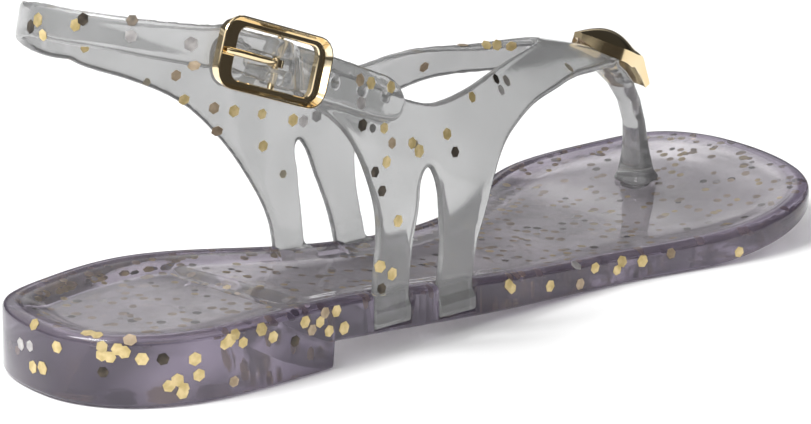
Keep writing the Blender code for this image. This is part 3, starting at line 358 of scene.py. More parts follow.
def column(rows, index):
    return Curve([(r[0], r[index]) for r in rows])


inner_width = column(OUTLINE, 1)
outer_width = column(OUTLINE, 2)
rim_height = Curve(RIM)
last_columns = [column(LAST, i) for i in range(1, 8)]


def smooth_step(low, high, x):
    t = min(max((x - low) / (high - low), 0.0), 1.0)
    return t * t * (3 - 2 * t)


def outline_x(share):
    return LENGTH * (1 - math.cos(math.pi * share)) / 2


def outline_share(x):
    return math.acos(1 - 2 * x / LENGTH) / math.pi


def side_point(side, share):
    """A point on the sole's outline, in plan."""
    width = inner_width(share) if side == INNER else outer_width(share)
    return Vector((outline_x(share), side * width))


def side_inward(side, share):
    """The direction into the sole at a point of its outline."""
    step = 0.004
    before = side_point(side, max(share - step, 0.0))
    after = side_point(side, min(share + step, 1.0))
    if share < step:
        before = side_point(-side, step)
    if share > 1 - step:
        after = side_point(-side, 1 - step)
    along = (after - before).normalized()
    return Vector((along.y, -along.x)) * side


def side_inset(side, share, inset):
    return side_point(side, share) + side_inward(side, share) * inset


def underside(x):
    """Height of the sole's underside: heel block, arch, flat spot and toe spring."""
    if x <= HEEL_FRONT:
        return 0.0
    if x < FLAT_FROM:
        return ARCH_RISE * ((FLAT_FROM - x) / (FLAT_FROM - HEEL_FRONT)) ** 1.3
    if x <= FLAT_TO:
        return 0.0
    return TOE_SPRING * ((x - FLAT_TO) / (LENGTH - FLAT_TO)) ** 1.6


def dish(x):
    """How far the footbed lies under the rim."""
    return FOREFOOT_DISH + (HEEL_CUP - FOREFOOT_DISH) * (1 - smooth_step(CUP_EDGE - 2, CUP_EDGE + 2, x))


def last_point(side, s, degrees):
    """A point of the last: s along the shoe, degrees up its side. Past HEEL_BACK it goes round the heel."""
    x = max(s, ANKLE_X)
    crest, middle, base, outer, inner, bulge, roundness = [c(x) for c in last_columns]
    angle = math.radians(degrees)
    reach = inner if side == INNER else outer
    y = middle + (reach - middle) * max(math.cos(angle), 0.0) ** roundness
    if side == INNER:
        y += bulge * math.sin(2 * angle)
    z = base + (crest - base) * math.sin(angle)
    if s >= ANKLE_X:
        return Vector((s, y, z))
    turn = (ANKLE_X - s) / ANKLE_TURN
    back = math.sin(turn)
    reach = ANKLE_REACH - ANKLE_LEAN * (z - ANKLE_HEIGHT)
    return Vector((ANKLE_X - reach * back, HEEL_SHIFT * back + y * math.cos(turn), z))


def wall_point(side, s, degrees, out=0.0):
    """A point out from the last along its outward normal."""
    step = 0.05
    here = last_point(side, s, degrees)
    low, high = degrees - step, degrees + step
    along = last_point(side, s + step, degrees) - last_point(side, s - step, degrees)
    up = last_point(side, s, high) - last_point(side, s, low)
    normal = up.cross(along) * side
    return here + normal.normalized() * out


def sheet_point(place, out=0.0):
    """A point of the wings: degrees run from the inner side (0) over the crest (90) to the outer (180)."""
    s, degrees = place
    if abs(degrees - 90) < 1.5:
        inner = wall_point(INNER, s, 88.5, out)
        outer = wall_point(OUTER, s, 88.5, out)
        return inner.lerp(outer, (degrees - 88.5) / 3.0)
    if degrees < 90:
        return wall_point(INNER, s, degrees, out)
    return wall_point(OUTER, s, 180 - degrees, out)


def link(name, data):
    thing = bpy.data.objects.new(name, data)
    bpy.context.scene.collection.objects.link(thing)
    return thing


def new_object(name, points, faces, smooth_angle=40):
    """An object from points in millimetres of the shoe's frame, with its faces pointing out."""
    mesh = bpy.data.meshes.new(name)
    mesh.from_pydata([tuple(Vector(p) * MM + SHIFT) for p in points], [], faces)
    work = bmesh.new()
    work.from_mesh(mesh)
    bmesh.ops.remove_doubles(work, verts=work.verts, dist=0.00002)
    bmesh.ops.recalc_face_normals(work, faces=work.faces)
    if work.calc_volume(signed=True) < 0:
        bmesh.ops.reverse_faces(work, faces=work.faces)
    work.to_mesh(mesh)
    work.free()
    mesh.shade_smooth()
    mesh.set_sharp_from_angle(angle=math.radians(smooth_angle))
    return link(name, mesh)


def fill_points(polygon, step):
    """Points of a staggered grid that lie well inside the polygon."""
    corners = np.array([tuple(p) for p in polygon])
    ahead = np.roll(corners, -1, axis=0)
    run = ahead - corners
    length = np.maximum((run**2).sum(1), 1e-9)
    low, high = corners.min(0), corners.max(0)
    found = []
    for row in range(int((high[1] - low[1]) / (step * 0.87)) + 1):
        y = low[1] + step / 2 + row * step * 0.87
        for x in np.arange(low[0] + (row % 2) * step / 2, high[0], step):
            here = np.array((x, y))
            crossing = (corners[:, 1] > y) != (ahead[:, 1] > y)
            rise = np.where(crossing, run[:, 1], 1.0)
            beyond = corners[:, 0] + (y - corners[:, 1]) / rise * run[:, 0] > x
            if (crossing & beyond).sum() % 2 == 0:
                continue
            t = np.clip(((here - corners) * run).sum(1) / length, 0, 1)
            if ((corners + run * t[:, None] - here) ** 2).sum(1).min() > (step * 0.45) ** 2:
                found.append(Vector((x, y)))
    return found


def boolean(target, other, operation):
    """Cuts or joins with the exact solver and keeps the result as the target's mesh."""
    modifier = target.modifiers.new("cut", "BOOLEAN")
    modifier.object = other
    modifier.operation = operation
    modifier.solver = "EXACT"
    graph = bpy.context.evaluated_depsgraph_get()
    mesh = bpy.data.meshes.new_from_object(target.evaluated_get(graph))
    target.modifiers.clear()
    old = target.data
    target.data = mesh
    mesh.name = target.name
    bpy.data.meshes.remove(old)
    bpy.data.objects.remove(other)


def loft(rings, closed_ends=True):
    """Points and faces of a tube through rings with the same number of points."""
    count = len(rings[0])
    points = [p for ring in rings for p in ring]
    faces = []
    for row in range(len(rings) - 1):
        for i in range(count):
            j = (i + 1) % count
            a = row * count
            faces.append((a + i, a + j, a + count + j, a + count + i))
    if closed_ends:
        faces.append(tuple(range(count)))
        faces.append(tuple(range((len(rings) - 1) * count, len(rings) * count)))
    return points, faces


def resample(rows, step):
    """Points about step apart on a smooth curve through (s, degrees) rows, without the last one."""
    travel = [0.0]
    for a, b in zip(rows, rows[1:]):
        travel.append(travel[-1] + math.hypot(b[0] - a[0], (b[1] - a[1]) * DEGREE))
    along = Curve([(t, r[0]) for t, r in zip(travel, rows)])
    up = Curve([(t, r[1]) for t, r in zip(travel, rows)])
    count = max(1, round(travel[-1] / step))
    places = [travel[-1] * i / count for i in range(count)]
    return [(along(t), up(t)) for t in places]


def outer_rows(rows):
    """Rows of the outer side, in the wings' degrees."""
    return [(s, 180 - degrees) for s, degrees in rows]


def sole_ring(shares, inset, height):
    """A closed ring: the outer side from heel to toe, then the inner side back."""
    ring = []
    for side, order in ((OUTER, shares), (INNER, shares[::-1])):
        for share in order:
            if side == INNER and share in (shares[0], shares[-1]):
                continue
            point = side_inset(side, share, inset)
            ring.append(Vector((point.x, point.y, height(outline_x(share)))))
    return ring


def leg_foot(name, side, start, end, grow):
    """The block at the foot of a leg, or its notch in the sole when grow is more than nothing."""
    middle = (start + end) / 2
    low = underside(middle) + FOOT_BOTTOM - grow
    rim = rim_height(middle)
    top = rim + 5.0 if grow else rim - FOOT_TOP
    section = [
        (FOOT_DEEP + grow, low),
        (-FOOT_PROUD, low),
        (-FOOT_PROUD, rim - LEDGE_LOW),
        (LEDGE_IN, rim - LEDGE_HIGH),
        (LEDGE_IN, top),
        (FOOT_DEEP + grow, top),
    ]
    if grow:
        section = [(FOOT_DEEP + grow, low), (-3.0, low), (-3.0, top), (FOOT_DEEP + grow, top)]
    rings = []
    for x in (start - grow, end + grow):
        share = outline_share(x)
        ring = []
        for inset, z in section:
            point = side_inset(side, share, inset)
            ring.append(Vector((point.x, point.y, z)))
        rings.append(ring)
    return new_object(name, *loft(rings))


def post_ring(centre, across_depth, wide, deep):
    """A squarish ring: width along Y, depth along a direction in the XZ plane."""
    depth = Vector(across_depth)
    ring = []
    for i in range(POST_SIDES):
        angle = 2 * math.pi * i / POST_SIDES
        c, s = math.cos(angle), math.sin(angle)
        size = (abs(c) ** POST_SHAPE + abs(s) ** POST_SHAPE) ** (-1 / POST_SHAPE)
        ring.append(Vector(centre) + Vector((0, wide * s * size, 0)) + depth * (deep * c * size))
    return ring


def toe_post():
    rings = []
    for i, (x, y, z, wide, deep) in enumerate(POST):
        a = POST[max(i - 1, 0)]
        b = POST[min(i + 1, len(POST) - 1)]
        along = Vector((b[0] - a[0], 0, b[2] - a[2])).normalized()
        if z < COLLAR_TOP:
            along = Vector((-FOOTBED_SLOPE, 0, 1)).normalized()
        rings.append(post_ring((x, y, z), (along.z, 0, -along.x), wide, deep))
    return new_object("post", *loft(rings))


def wings_outline():
    """The edge of both wings and the bridge between them, as (s, degrees); it is open at the ankle strap."""
    step = OUTLINE_STEP
    edge = []
    edge += resample((INNER_REAR_EDGE + INNER_ARM_LOWER[1:])[::-1], step)
    edge += resample([INNER_REAR_EDGE[0], INNER_SLOT[0]], step)
    edge += resample(INNER_SLOT + INNER_SLOT_FRONT[1:], step)
    edge += resample([INNER_SLOT_FRONT[-1], INNER_FRONT_EDGE[0]], step)
    front = INNER_FRONT_EDGE + BRIDGE_FRONT[1:] + BRIDGE_FRONT_OUTER
    edge += resample(front + outer_rows(OUTER_FRONT_EDGE[-2::-1]), step)
    edge += resample(outer_rows([OUTER_FRONT_EDGE[0], OUTER_SLOT_FRONT[-1]]), step)
    edge += resample(outer_rows((OUTER_SLOT + OUTER_SLOT_FRONT[1:])[::-1]), step)
    edge += resample(outer_rows([OUTER_SLOT[0], OUTER_REAR_EDGE[0]]), step)
    rear = OUTER_REAR_EDGE + OUTER_ARM_LOWER[1:] + OUTER_ARM_END[1:] + OUTER_ARM_UPPER[1:]
    top = OUTER_TOP_EDGE[1:]
    edge += resample(outer_rows(rear + top) + [CROTCH] + (INNER_ARM_UPPER + INNER_TOP_EDGE[1:])[::-1], step)
    return edge


def flat(place):
    return Vector((place[0], place[1] * DEGREE))


def inward_points(edge, inset):
    """The outline moved inwards; it runs with its inside on the left."""
    moved = []
    count = len(edge)
    for i in range(count):
        before, here, after = flat(edge[i - 1]), flat(edge[i]), flat(edge[(i + 1) % count])
        a = (here - before).normalized()
        b = (after - here).normalized()
        normal = Vector((-(a.y + b.y), a.x + b.x))
        if normal.length < 0.2:
            normal = Vector((-a.y, a.x))
        normal.normalize()
        point = here + normal * inset
        moved.append((point.x, point.y / DEGREE))
    return moved


def strap_rows():
    """Rows of the ankle strap: side, s, lower and upper degrees, and how far it stands out."""
    length_inner = STRAP_INNER[0][0] - HEEL_BACK
    length_outer = STRAP_OUTER[-1][0] - HEEL_BACK
    total = length_inner + length_outer
    table = [(STRAP_INNER[0][0] - r[0],) + r[1:] for r in STRAP_INNER]
    table += [(length_inner + r[0] - HEEL_BACK,) + r[1:] for r in STRAP_OUTER]
    lower, upper, out = column(table, 1), column(table, 2), column(table, 3)
    rows = []
    for i in range(STRAP_ROWS + 1):
        travel = total * i / STRAP_ROWS
        low, high = lower(travel), upper(travel)
        left = total - travel
        if left < TIP_LENGTH:
            share = math.sqrt(max(1 - ((TIP_LENGTH - left) / TIP_LENGTH) ** 2.4, 0.02))
            middle, half = (low + high) / 2, (high - low) / 2
            low, high = middle - half * share, middle + half * share
        if travel <= length_inner:
            side, s = INNER, STRAP_INNER[0][0] - travel
        else:
            side, s = OUTER, HEEL_BACK + travel - length_inner
        bump = 0.0
        if side == OUTER and abs(s - BUCKLE_AT) < BUMP_REACH:
            bump = STRAP_BUMP * (1 + math.cos(math.pi * (s - BUCKLE_AT) / BUMP_REACH)) / 2
        rows.append((side, s, low, high, out(travel) + bump))
    return rows


def strap_wall(i):
    """The strap starts as thick as the wing that it grows out of and thins towards the buckle."""
    return WALL + (STRAP_WALL - WALL) * smooth_step(0, STRAP_ROWS * 0.5, i)


def edge_inset(side, s, low, high):
    """Degrees from the strap's edge to where its flat faces start."""
    per_degree = (wall_point(side, s, high) - wall_point(side, s, low)).length / (high - low)
    return EDGE_ROUND / per_degree


def strap_ring(row, wall):
    """One section of the strap: its inner face, upper edge, outer face and lower edge."""
    side, s, low, high, out = row
    inset = min(edge_inset(side, s, low, high), (high - low) * 0.3)
    across = [low + inset + (high - low - 2 * inset) * k / STRAP_ACROSS for k in range(STRAP_ACROSS + 1)]
    ring = [wall_point(side, s, d, out + wall / 2) for d in across]
    ring.append(wall_point(side, s, high, out + wall / 4))
    ring.append(wall_point(side, s, high, out - wall / 4))
    ring += [wall_point(side, s, d, out - wall / 2) for d in across[::-1]]
    ring.append(wall_point(side, s, low, out - wall / 4))
    ring.append(wall_point(side, s, low, out + wall / 4))
    return ring


def wings_and_strap():
    """The clear sheet: both wings with the bridge between them, and the ankle strap, as one closed body."""
    edge = wings_outline()
    rows = strap_rows()
    start_ring = strap_ring(rows[0], WALL)
    _, s0, low, high, _ = rows[0]
    inset = edge_inset(INNER, s0, low, high)
    cut = [high - inset - (high - low - 2 * inset) * k / STRAP_ACROSS for k in range(STRAP_ACROSS + 1)]
    edge = edge + [(s0, high)]
    ring_in = inward_points(edge, EDGE_ROUND)
    ring_in[0] = (s0, cut[-1])
    ring_in[-1] = (s0, cut[0])
    loop = ring_in + [(s0, d) for d in cut[1:-1]]
    polygon = [flat(p) for p in loop]
    inner_points = fill_points(polygon, FILL_STEP)
    boundary = list(range(len(polygon)))
    out = delaunay_2d_cdt(polygon + inner_points, [], [boundary], 1, 1e-6)
    places = [(v.x, v.y / DEGREE) for v in out[0]]
    triangles = [tuple(f) for f in out[2]]
    origin = {}
    for new, old in enumerate(out[3]):
        for index in old:
            origin[index] = new
    points = []
    faces = []
    for sign in (1, -1):
        base = len(points)
        points += [sheet_point(p, sign * WALL / 2) for p in places]
        faces += [tuple(base + i for i in t) for t in triangles]
    count = len(places)
    rim = len(points)
    points += [sheet_point(p, WALL / 4) for p in edge]
    points += [sheet_point(p, -WALL / 4) for p in edge]
    size = len(edge)
    for i in range(size - 1):
        j = i + 1
        top_i, top_j = origin[i], origin[j]
        faces.append((top_i, top_j, rim + j, rim + i))
        faces.append((rim + i, rim + j, rim + size + j, rim + size + i))
        faces.append((rim + size + i, rim + size + j, count + top_j, count + top_i))
    strap = [start_ring] + [strap_ring(row, strap_wall(i)) for i, row in enumerate(rows)][1:]
    strap_points, strap_faces = loft(strap, closed_ends=False)
    ring_size = len(start_ring)
    strap_faces.append(tuple(range(len(strap_points) - ring_size, len(strap_points))))
    base = len(points)
    points += strap_points
    faces += [tuple(base + i for i in f) for f in strap_faces]
    return new_object("upper", points, faces)


def buckle_matrix():
    """Buckle coordinates: x along the strap to the toe, y up across it, z out from the foot."""
    centre = last_point(OUTER, BUCKLE_AT, BUCKLE_DEGREE)
    out = (wall_point(OUTER, BUCKLE_AT, BUCKLE_DEGREE, 1.0) - centre).normalized()
    slope = math.radians(BUCKLE_SLOPE)
    along = Vector((math.cos(slope), 0, -math.sin(slope)))
    along = (along - out * along.dot(out)).normalized()
    up = out.cross(along)
    turn = Matrix((along, up, out)).transposed().to_4x4()
    return Matrix.Translation(centre) @ turn


def box_body(name, low, high, matrix):
    rings = []
    for x in (low[0], high[0]):
        corners = ((low[1], low[2]), (high[1], low[2]), (high[1], high[2]), (low[1], high[2]))
        rings.append([matrix @ Vector((x, y, z)) for y, z in corners])
    return new_object(name, *loft(rings))


def cylinder_y(name, radius, width, place, height, matrix, sides=16):
    """A round bar along the buckle's y."""
    rings = []
    for y in (place - width / 2, place + width / 2):
        ring = []
        for i in range(sides):
            angle = 2 * math.pi * i / sides
            ring.append(matrix @ Vector((radius * math.cos(angle), y, height + radius * math.sin(angle))))
        rings.append(ring)
    return new_object(name, *loft(rings))


# Dressed upper and sole


def remeshed(thing):
    """One closed skin with round edges, in place of the pieces that overlap in it."""
    skin = thing.modifiers.new("skin", "REMESH")
    skin.mode = "VOXEL"
    skin.voxel_size = VOXEL
    soft = thing.modifiers.new("soft", "SMOOTH")
    soft.factor = 0.5
    soft.iterations = SMOOTHING
    graph = bpy.context.evaluated_depsgraph_get()
    mesh = bpy.data.meshes.new_from_object(thing.evaluated_get(graph))
    thing.modifiers.clear()
    thing.data = mesh
    mesh.shade_smooth()
    return thing


def joined(name, things):
    """One object from several, in one mesh."""
    points, faces = [], []
    for thing in things:
        base = len(points)
        points += [v.co.copy() for v in thing.data.vertices]
        faces += [tuple(base + i for i in f.vertices) for f in thing.data.polygons]
        bpy.data.objects.remove(thing)
    mesh = bpy.data.meshes.new(name)
    mesh.from_pydata([tuple(p) for p in points], [], faces)
    return link(name, mesh)


def tip_hole(s, degrees):
    """A pin's hole through the free end of the ankle strap."""
    centre = wall_point(OUTER, s, degrees, TIP_OUT)
    out = (wall_point(OUTER, s, degrees, TIP_OUT + 1.0) - centre).normalized()
    side = out.cross(Vector((1, 0, 0))).normalized()
    other = out.cross(side)
    rings = []
    for level in (HOLE_FROM, HOLE_TO):
        ring = []
        for i in range(HOLE_SIDES):
            angle = 2 * math.pi * i / HOLE_SIDES
            round_part = side * math.cos(angle) + other * math.sin(angle)
            ring.append(centre + out * level + round_part * HOLE_RADIUS)
        rings.append(ring)
    return new_object("tip_hole", *loft(rings))


def dressed_upper():
    sheet = wings_and_strap()
    place = buckle_matrix()
    slot_low = (-BUMP_REACH + 0.6, -PRONG_SLOT / 2, STRAP_WALL)
    slot_high = (PRONG_EYE + 0.8, PRONG_SLOT / 2, 12.0)
    boolean(sheet, box_body("prong_slot", slot_low, slot_high, place), "DIFFERENCE")
    for s, degrees in TIP_HOLES:
        boolean(sheet, tip_hole(s, degrees), "DIFFERENCE")
    things = [sheet, toe_post()]
    for side, start, end in LEG_FEET:
        things.append(leg_foot("foot", side, start, end, 0.0))
    loop_radius = BAR_RADIUS + GAP + LOOP_WALL
    for side in (-1, 1):
        low = (-1.5, side * LOOP_PLACE - LOOP_WIDTH / 2, 0.3)
        high = (1.5, side * LOOP_PLACE + LOOP_WIDTH / 2, BAR_HEIGHT)
        things.append(box_body("loop_foot", low, high, place))
        things.append(cylinder_y("loop", loop_radius, LOOP_WIDTH, side * LOOP_PLACE, BAR_HEIGHT, place))
    return remeshed(joined("upper_moulding", things))


def footbed_ladder(points, start, rows, across):
    """Faces that fill a ring across the shoe, with a number of middle points on each rung."""
    total = 2 * rows - 2
    rungs = []
    for i in range(1, rows - 1):
        a = points[start + i]
        b = points[start + (total - i) % total]
        rung = [start + i]
        for k in range(1, across):
            rung.append(len(points))
            points.append(a.lerp(b, k / across))
        rung.append(start + (total - i) % total)
        rungs.append(rung)
    faces = []
    for rung, ahead in zip(rungs, rungs[1:]):
        for k in range(across):
            faces.append((rung[k], ahead[k], ahead[k + 1], rung[k + 1]))
    first, last = rungs[0], rungs[-1]
    heel, toe = start, start + rows - 1
    for k in range(across):
        faces.append((heel, first[k], first[k + 1]))
        faces.append((toe, last[k + 1], last[k]))
    return faces


def band_height(x, fall):
    """Height of the band, which falls from the line inside the rim to the footbed."""
    return rim_height(x) - GROOVE_DEEP - fall * (dish(x) - GROOVE_DEEP)


def dressed_sole():
    """The sole with round edges, a line inside its rim and the footbed's band and panel."""
    breast = [outline_share(HEEL_FRONT), outline_share(HEEL_FRONT + BREAST_RUN)]
    even = [i / SOLE_STATIONS for i in range(SOLE_STATIONS + 1)]
    near = 0.4 / SOLE_STATIONS
    shares = sorted([t for t in even if min(abs(t - b) for b in breast) > near] + breast)
    rings = []
    for inset, from_rim, rise in FINE_RINGS:
        level = rim_height if from_rim else underside
        rings.append(sole_ring(shares, inset, lambda x, level=level, rise=rise: level(x) + rise))
    for inset in BAND:
        fall = smooth_step(BAND[0] - 1.0, BAND[-1] + 0.5, inset)
        rings.append(sole_ring(shares, inset, lambda x, fall=fall: band_height(x, fall)))
    points, faces = loft(rings, closed_ends=False)
    points = list(points)
    size = len(rings[0])
    faces += footbed_ladder(points, 0, len(shares), UNDERSIDE_ACROSS)
    faces += footbed_ladder(points, size * (len(rings) - 1), len(shares), FOOTBED_ACROSS)
    sole = new_object("sole_moulding", points, faces, 50)
    for side, start, end in LEG_FEET:
        boolean(sole, leg_foot("notch", side, start, end, GAP / 2), "DIFFERENCE")
    mark_footbed(sole)
    return sole


def mark_footbed(sole):
    """Writes where the footbed is ridged, in a band along the forefoot, and where the wall is painted darker,
    as painted shade.
    """
    ring = sole_ring([i / 120 for i in range(121)], 0.0, lambda x: 0.0)
    outline = np.array([(p.x, p.y) for p in ring])
    ahead = np.roll(outline, -1, axis=0)
    run = ahead - outline
    grains, painted_wall_shade = [], []
    for vertex in sole.data.vertices:
        place = (vertex.co - SHIFT) / MM
        here = np.array((place.x, place.y))
        t = np.clip(((here - outline) * run).sum(1) / np.maximum((run**2).sum(1), 1e-9), 0, 1)
        distance = float(np.sqrt(((outline + run * t[:, None] - here) ** 2).sum(1)).min())
        on_top = place.z > rim_height(place.x) - TOP_REACH
        band = smooth_step(*GRAIN_IN, distance) * (1 - smooth_step(*GRAIN_OUT, distance))
        fore = smooth_step(*GRAIN_FORE, place.x)
        grains.append(band * fore * GRAIN_STRENGTH if on_top else 0.0)
        # The wall value marks where the sole's side is painted darker: painted shade
        painted_wall_shade.append(1 - smooth_step(*WALL_FADE, distance))
    for name, values in (("grain", grains), ("wall", painted_wall_shade)):
        marks = sole.data.attributes.new(name, "FLOAT", "POINT")
        marks.data.foreach_set("value", values)


# Flakes


def flake_mesh(name, places):
    """Thin six-sided flakes at (centre, normal, radius, spin), as one mesh."""
    points, faces = [], []
    for centre, normal, radius, spin in places:
        side = normal.orthogonal().normalized()
        other = normal.cross(side)
        base = len(points)
        for level in (-FLAKE_THICK / 2, FLAKE_THICK / 2):
            for i in range(6):
                angle = spin + math.pi * i / 3
                rim = side * math.cos(angle) + other * math.sin(angle)
                points.append(centre + (normal * level + rim * radius) * MM)
        faces.append(tuple(base + i for i in range(6))[::-1])
        faces.append(tuple(base + 6 + i for i in range(6)))
        for i in range(6):
            j = (i + 1) % 6
            faces.append((base + i, base + j, base + 6 + j, base + 6 + i))
    mesh = bpy.data.meshes.new(name)
    mesh.from_pydata([tuple(p) for p in points], [], faces)
    return link(name, mesh)


def tilted(normal, most, chance):
    """The normal turned by up to most degrees to a random side."""
    side = normal.orthogonal().normalized()
    turned = Matrix.Rotation(chance.uniform(0, 2 * math.pi), 3, normal) @ side
    return (Matrix.Rotation(math.radians(chance.uniform(0, most)), 3, turned) @ normal).normalized()


def tree_of(thing):
    points = [v.co.copy() for v in thing.data.vertices]
    return BVHTree.FromPolygons(points, [tuple(f.vertices) for f in thing.data.polygons])


def seated(place, normal, radius, tree):
    """The place moved off an edge, until the whole flake lies on the skin."""
    side = normal.orthogonal().normalized()
    for _ in range(4):
        push = Vector()
        for i in range(6):
            rim = Matrix.Rotation(math.pi * i / 3, 3, normal) @ side * radius * MM
            if tree.find_nearest(place + rim)[3] > EDGE_MISS * MM:
                push -= rim * EDGE_PUSH
        if push.length == 0:
            break
        place = tree.find_nearest(place + push)[0]
    return place


def seen_flakes(chart, tree, camera, chance):
    """Flakes on the skin that the camera sees at the chart's places."""
    found = {finish: [] for finish in FINISH_SHARES}
    eye = camera.matrix_world.translation
    turn = camera.matrix_world.to_3x3()
    per_pixel = camera.data.sensor_width / camera.data.lens / PHOTO_WIDE
    for column_at, row_at, finish in chart:
        ray = Vector(((column_at - PHOTO_WIDE / 2) * per_pixel, (PHOTO_HIGH / 2 - row_at) * per_pixel, -1.0))
        hit, normal, _, _ = tree.ray_cast(eye, (turn @ ray).normalized())
        if hit is None:
            continue
        radius = FLAKE_RADIUS * chance.uniform(*SEEN_SIZES)
        place = seated(hit, normal, radius, tree) + normal * SEEN_RISE * MM
        found[finish].append((place, tilted(normal, SEEN_TILT, chance), radius, chance.uniform(0, math.pi)))
    return found


def scattered_flakes(thing, count, shares, depth, most_tilt, keep, size, chance):
    """Flakes under random places of a mesh, by area, where keep(place, normal) allows them."""
    mesh = thing.data
    polygons = [p for p in mesh.polygons if keep((p.center - SHIFT) / MM, p.normal)]
    areas = np.cumsum([p.area for p in polygons])
    found = {finish: [] for finish in shares}
    names = list(shares)
    weights = list(shares.values())
    for _ in range(count):
        polygon = polygons[int(np.searchsorted(areas, chance.uniform(0, float(areas[-1]))))]
        place = polygon.center - polygon.normal * chance.uniform(*depth) * MM
        finish = chance.choices(names, weights)[0]
        radius = FLAKE_RADIUS * size * chance.uniform(*HIDDEN_SIZES)
        found[finish].append((place, tilted(polygon.normal, most_tilt, chance), radius, chance.uniform(0, 3)))
    return found


def make_flakes(sole, upper, camera):
    chance = random.Random(7)
    sets = []
    sets.append(("sole", seen_flakes(SOLE_FLAKES, tree_of(sole), camera, chance)))
    sets.append(("upper", seen_flakes(UPPER_FLAKES, tree_of(upper), camera, chance)))

    def on_footbed(place, normal):
        return normal.z > 0.9 and place.z > rim_height(place.x) - 4.0

    def on_far_wall(place, normal):
        return abs(normal.z) < 0.3 and (normal.y > 0.2 or normal.x > 0.6)

    def on_far_strap(place, normal):
        return normal.y > 0.3 and place.z > 20

    # Name, piece, how many, finishes, depth under the skin, most tilt, where, size
    scatters = [
        ("footbed", sole, FOOTBED_FLAKES, FOOTBED_SHARES, (0.6, 2.6), 10, on_footbed, 0.76),
        ("wall", sole, WALL_FLAKES, FINISH_SHARES, (0.5, 1.8), 14, on_far_wall, 1.0),
        ("strap", upper, STRAP_FLAKES, FINISH_SHARES, (0.7, 1.1), 12, on_far_strap, 1.0),
    ]
    for name, thing, count, shares, depth, most_tilt, keep, size in scatters:
        found = scattered_flakes(thing, count, shares, depth, most_tilt, keep, size, chance)
        sets.append((name, found))
    for finish in FINISH_SHARES:
        places = [p for _, found in sets for p in found[finish]]
        flakes = flake_mesh("flakes_" + finish, places)
        flakes.data.materials.append(flake_material(finish))
        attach(flakes, "root")


# Materials


def fill(tree, node, inputs):
    """Sets each named input to its value, or links it where another node's output is given."""
    for name, given in inputs.items():
        if isinstance(given, bpy.types.NodeSocket):
            tree.links.new(given, node.inputs[name])
        else:
            node.inputs[name].default_value = given


def add_node(tree, kind, inputs, **settings):
    made = tree.nodes.new(kind)
    for name, value in settings.items():
        setattr(made, name, value)
    fill(tree, made, inputs)
    return made


def shader_of(name, inputs):
    """A material, its tree and its shader with some inputs filled."""
    made = bpy.data.materials.new(name)
    made.use_nodes = True
    shader = made.node_tree.nodes["Principled BSDF"]
    fill(made.node_tree, shader, inputs)
    return made, made.node_tree, shader


def noise(tree, scale, detail=3.0):
    where = tree.nodes.new("ShaderNodeTexCoord").outputs["Object"]
    inputs = {"Vector": where, "Scale": scale, "Detail": detail}
    return add_node(tree, "ShaderNodeTexNoise", inputs).outputs["Fac"]


def attribute(tree, name):
    return add_node(tree, "ShaderNodeAttribute", {}, attribute_name=name).outputs["Fac"]


def blended(tree, share, first, second):
    """A colour that goes from the first to the second with the share."""
    inputs = {"Factor": share, "A": first, "B": second}
    return add_node(tree, "ShaderNodeMix", inputs, data_type="RGBA").outputs["Result"]


def ramp(tree, source, low, high):
    """A colour that goes from low to high over the middle of the source's range."""
    spread = add_node(tree, "ShaderNodeMapRange", {"Value": source, "From Min": 0.35, "From Max": 0.65})
    return blended(tree, spread.outputs["Result"], (*low, 1.0), (*high, 1.0))


def bump(tree, shader, height, strength):
    inputs = {"Height": height, "Strength": strength, "Distance": RELIEF}
    fill(tree, shader, {"Normal": add_node(tree, "ShaderNodeBump", inputs).outputs["Normal"]})


def cloudy(name, scale, low, high, inputs):
    """A material whose colour drifts between two; a higher scale makes smaller clouds."""
    made, tree, shader = shader_of(name, inputs)
    fill(tree, shader, {"Base Color": ramp(tree, noise(tree, scale), low, high)})
    return made, tree, shader


def clear_plastic():
    inputs = {"Transmission Weight": 0.78, "IOR": PLASTIC_IOR, "Roughness": 0.09}
    low, high = (0.51, 0.513, 0.513), (0.57, 0.573, 0.573)
    made, tree, shader = cloudy("clear_plastic", 60.0, low, high, inputs)
    bump(tree, shader, noise(tree, 90.0, 2.0), 0.05)
    return made


def tinted_plastic():
    """Paler and clearer in the footbed; the wall is painted darker and made less clear, as painted shade;
    ridges where the grain is marked.
    """
    made, tree, shader = shader_of("tinted_plastic", {"IOR": PLASTIC_IOR, "Roughness": 0.06})
    # The wall mark paints shade on the sole's side: a darker colour and less transmission there
    wall = attribute(tree, "wall")
    clearness = add_node(tree, "ShaderNodeMapRange", {"Value": wall, "To Min": 0.90, "To Max": 0.78})
    cloud = noise(tree, 45.0)
    top = ramp(tree, cloud, (0.51, 0.485, 0.515), (0.69, 0.66, 0.69))
    side = ramp(tree, cloud, (0.18, 0.15, 0.215), (0.345, 0.295, 0.385))
    fill(tree, shader, {
        "Transmission Weight": clearness.outputs["Result"],
        "Base Color": blended(tree, wall, top, side),
    })
    ridges = {0: noise(tree, 320.0, 2.0), 1: attribute(tree, "grain")}
    rough = add_node(tree, "ShaderNodeMath", ridges, operation="MULTIPLY")
    waves = {0: noise(tree, 120.0, 2.0), 1: 0.5, 2: rough.outputs[0]}
    both = add_node(tree, "ShaderNodeMath", waves, operation="MULTIPLY_ADD")
    bump(tree, shader, both.outputs[0], 0.25)
    return made


def polished_gold():
    inputs = {"Metallic": 1.0, "Roughness": 0.09}
    return cloudy("polished_gold", 30.0, (0.86, 0.69, 0.42), (0.93, 0.79, 0.55), inputs)[0]


def flake_material(finish):
    inputs = {"Metallic": 0.6, "Roughness": 0.35}
    return cloudy("flakes_" + finish, 500.0, *FLAKE_COLOURS[finish], inputs)[0]


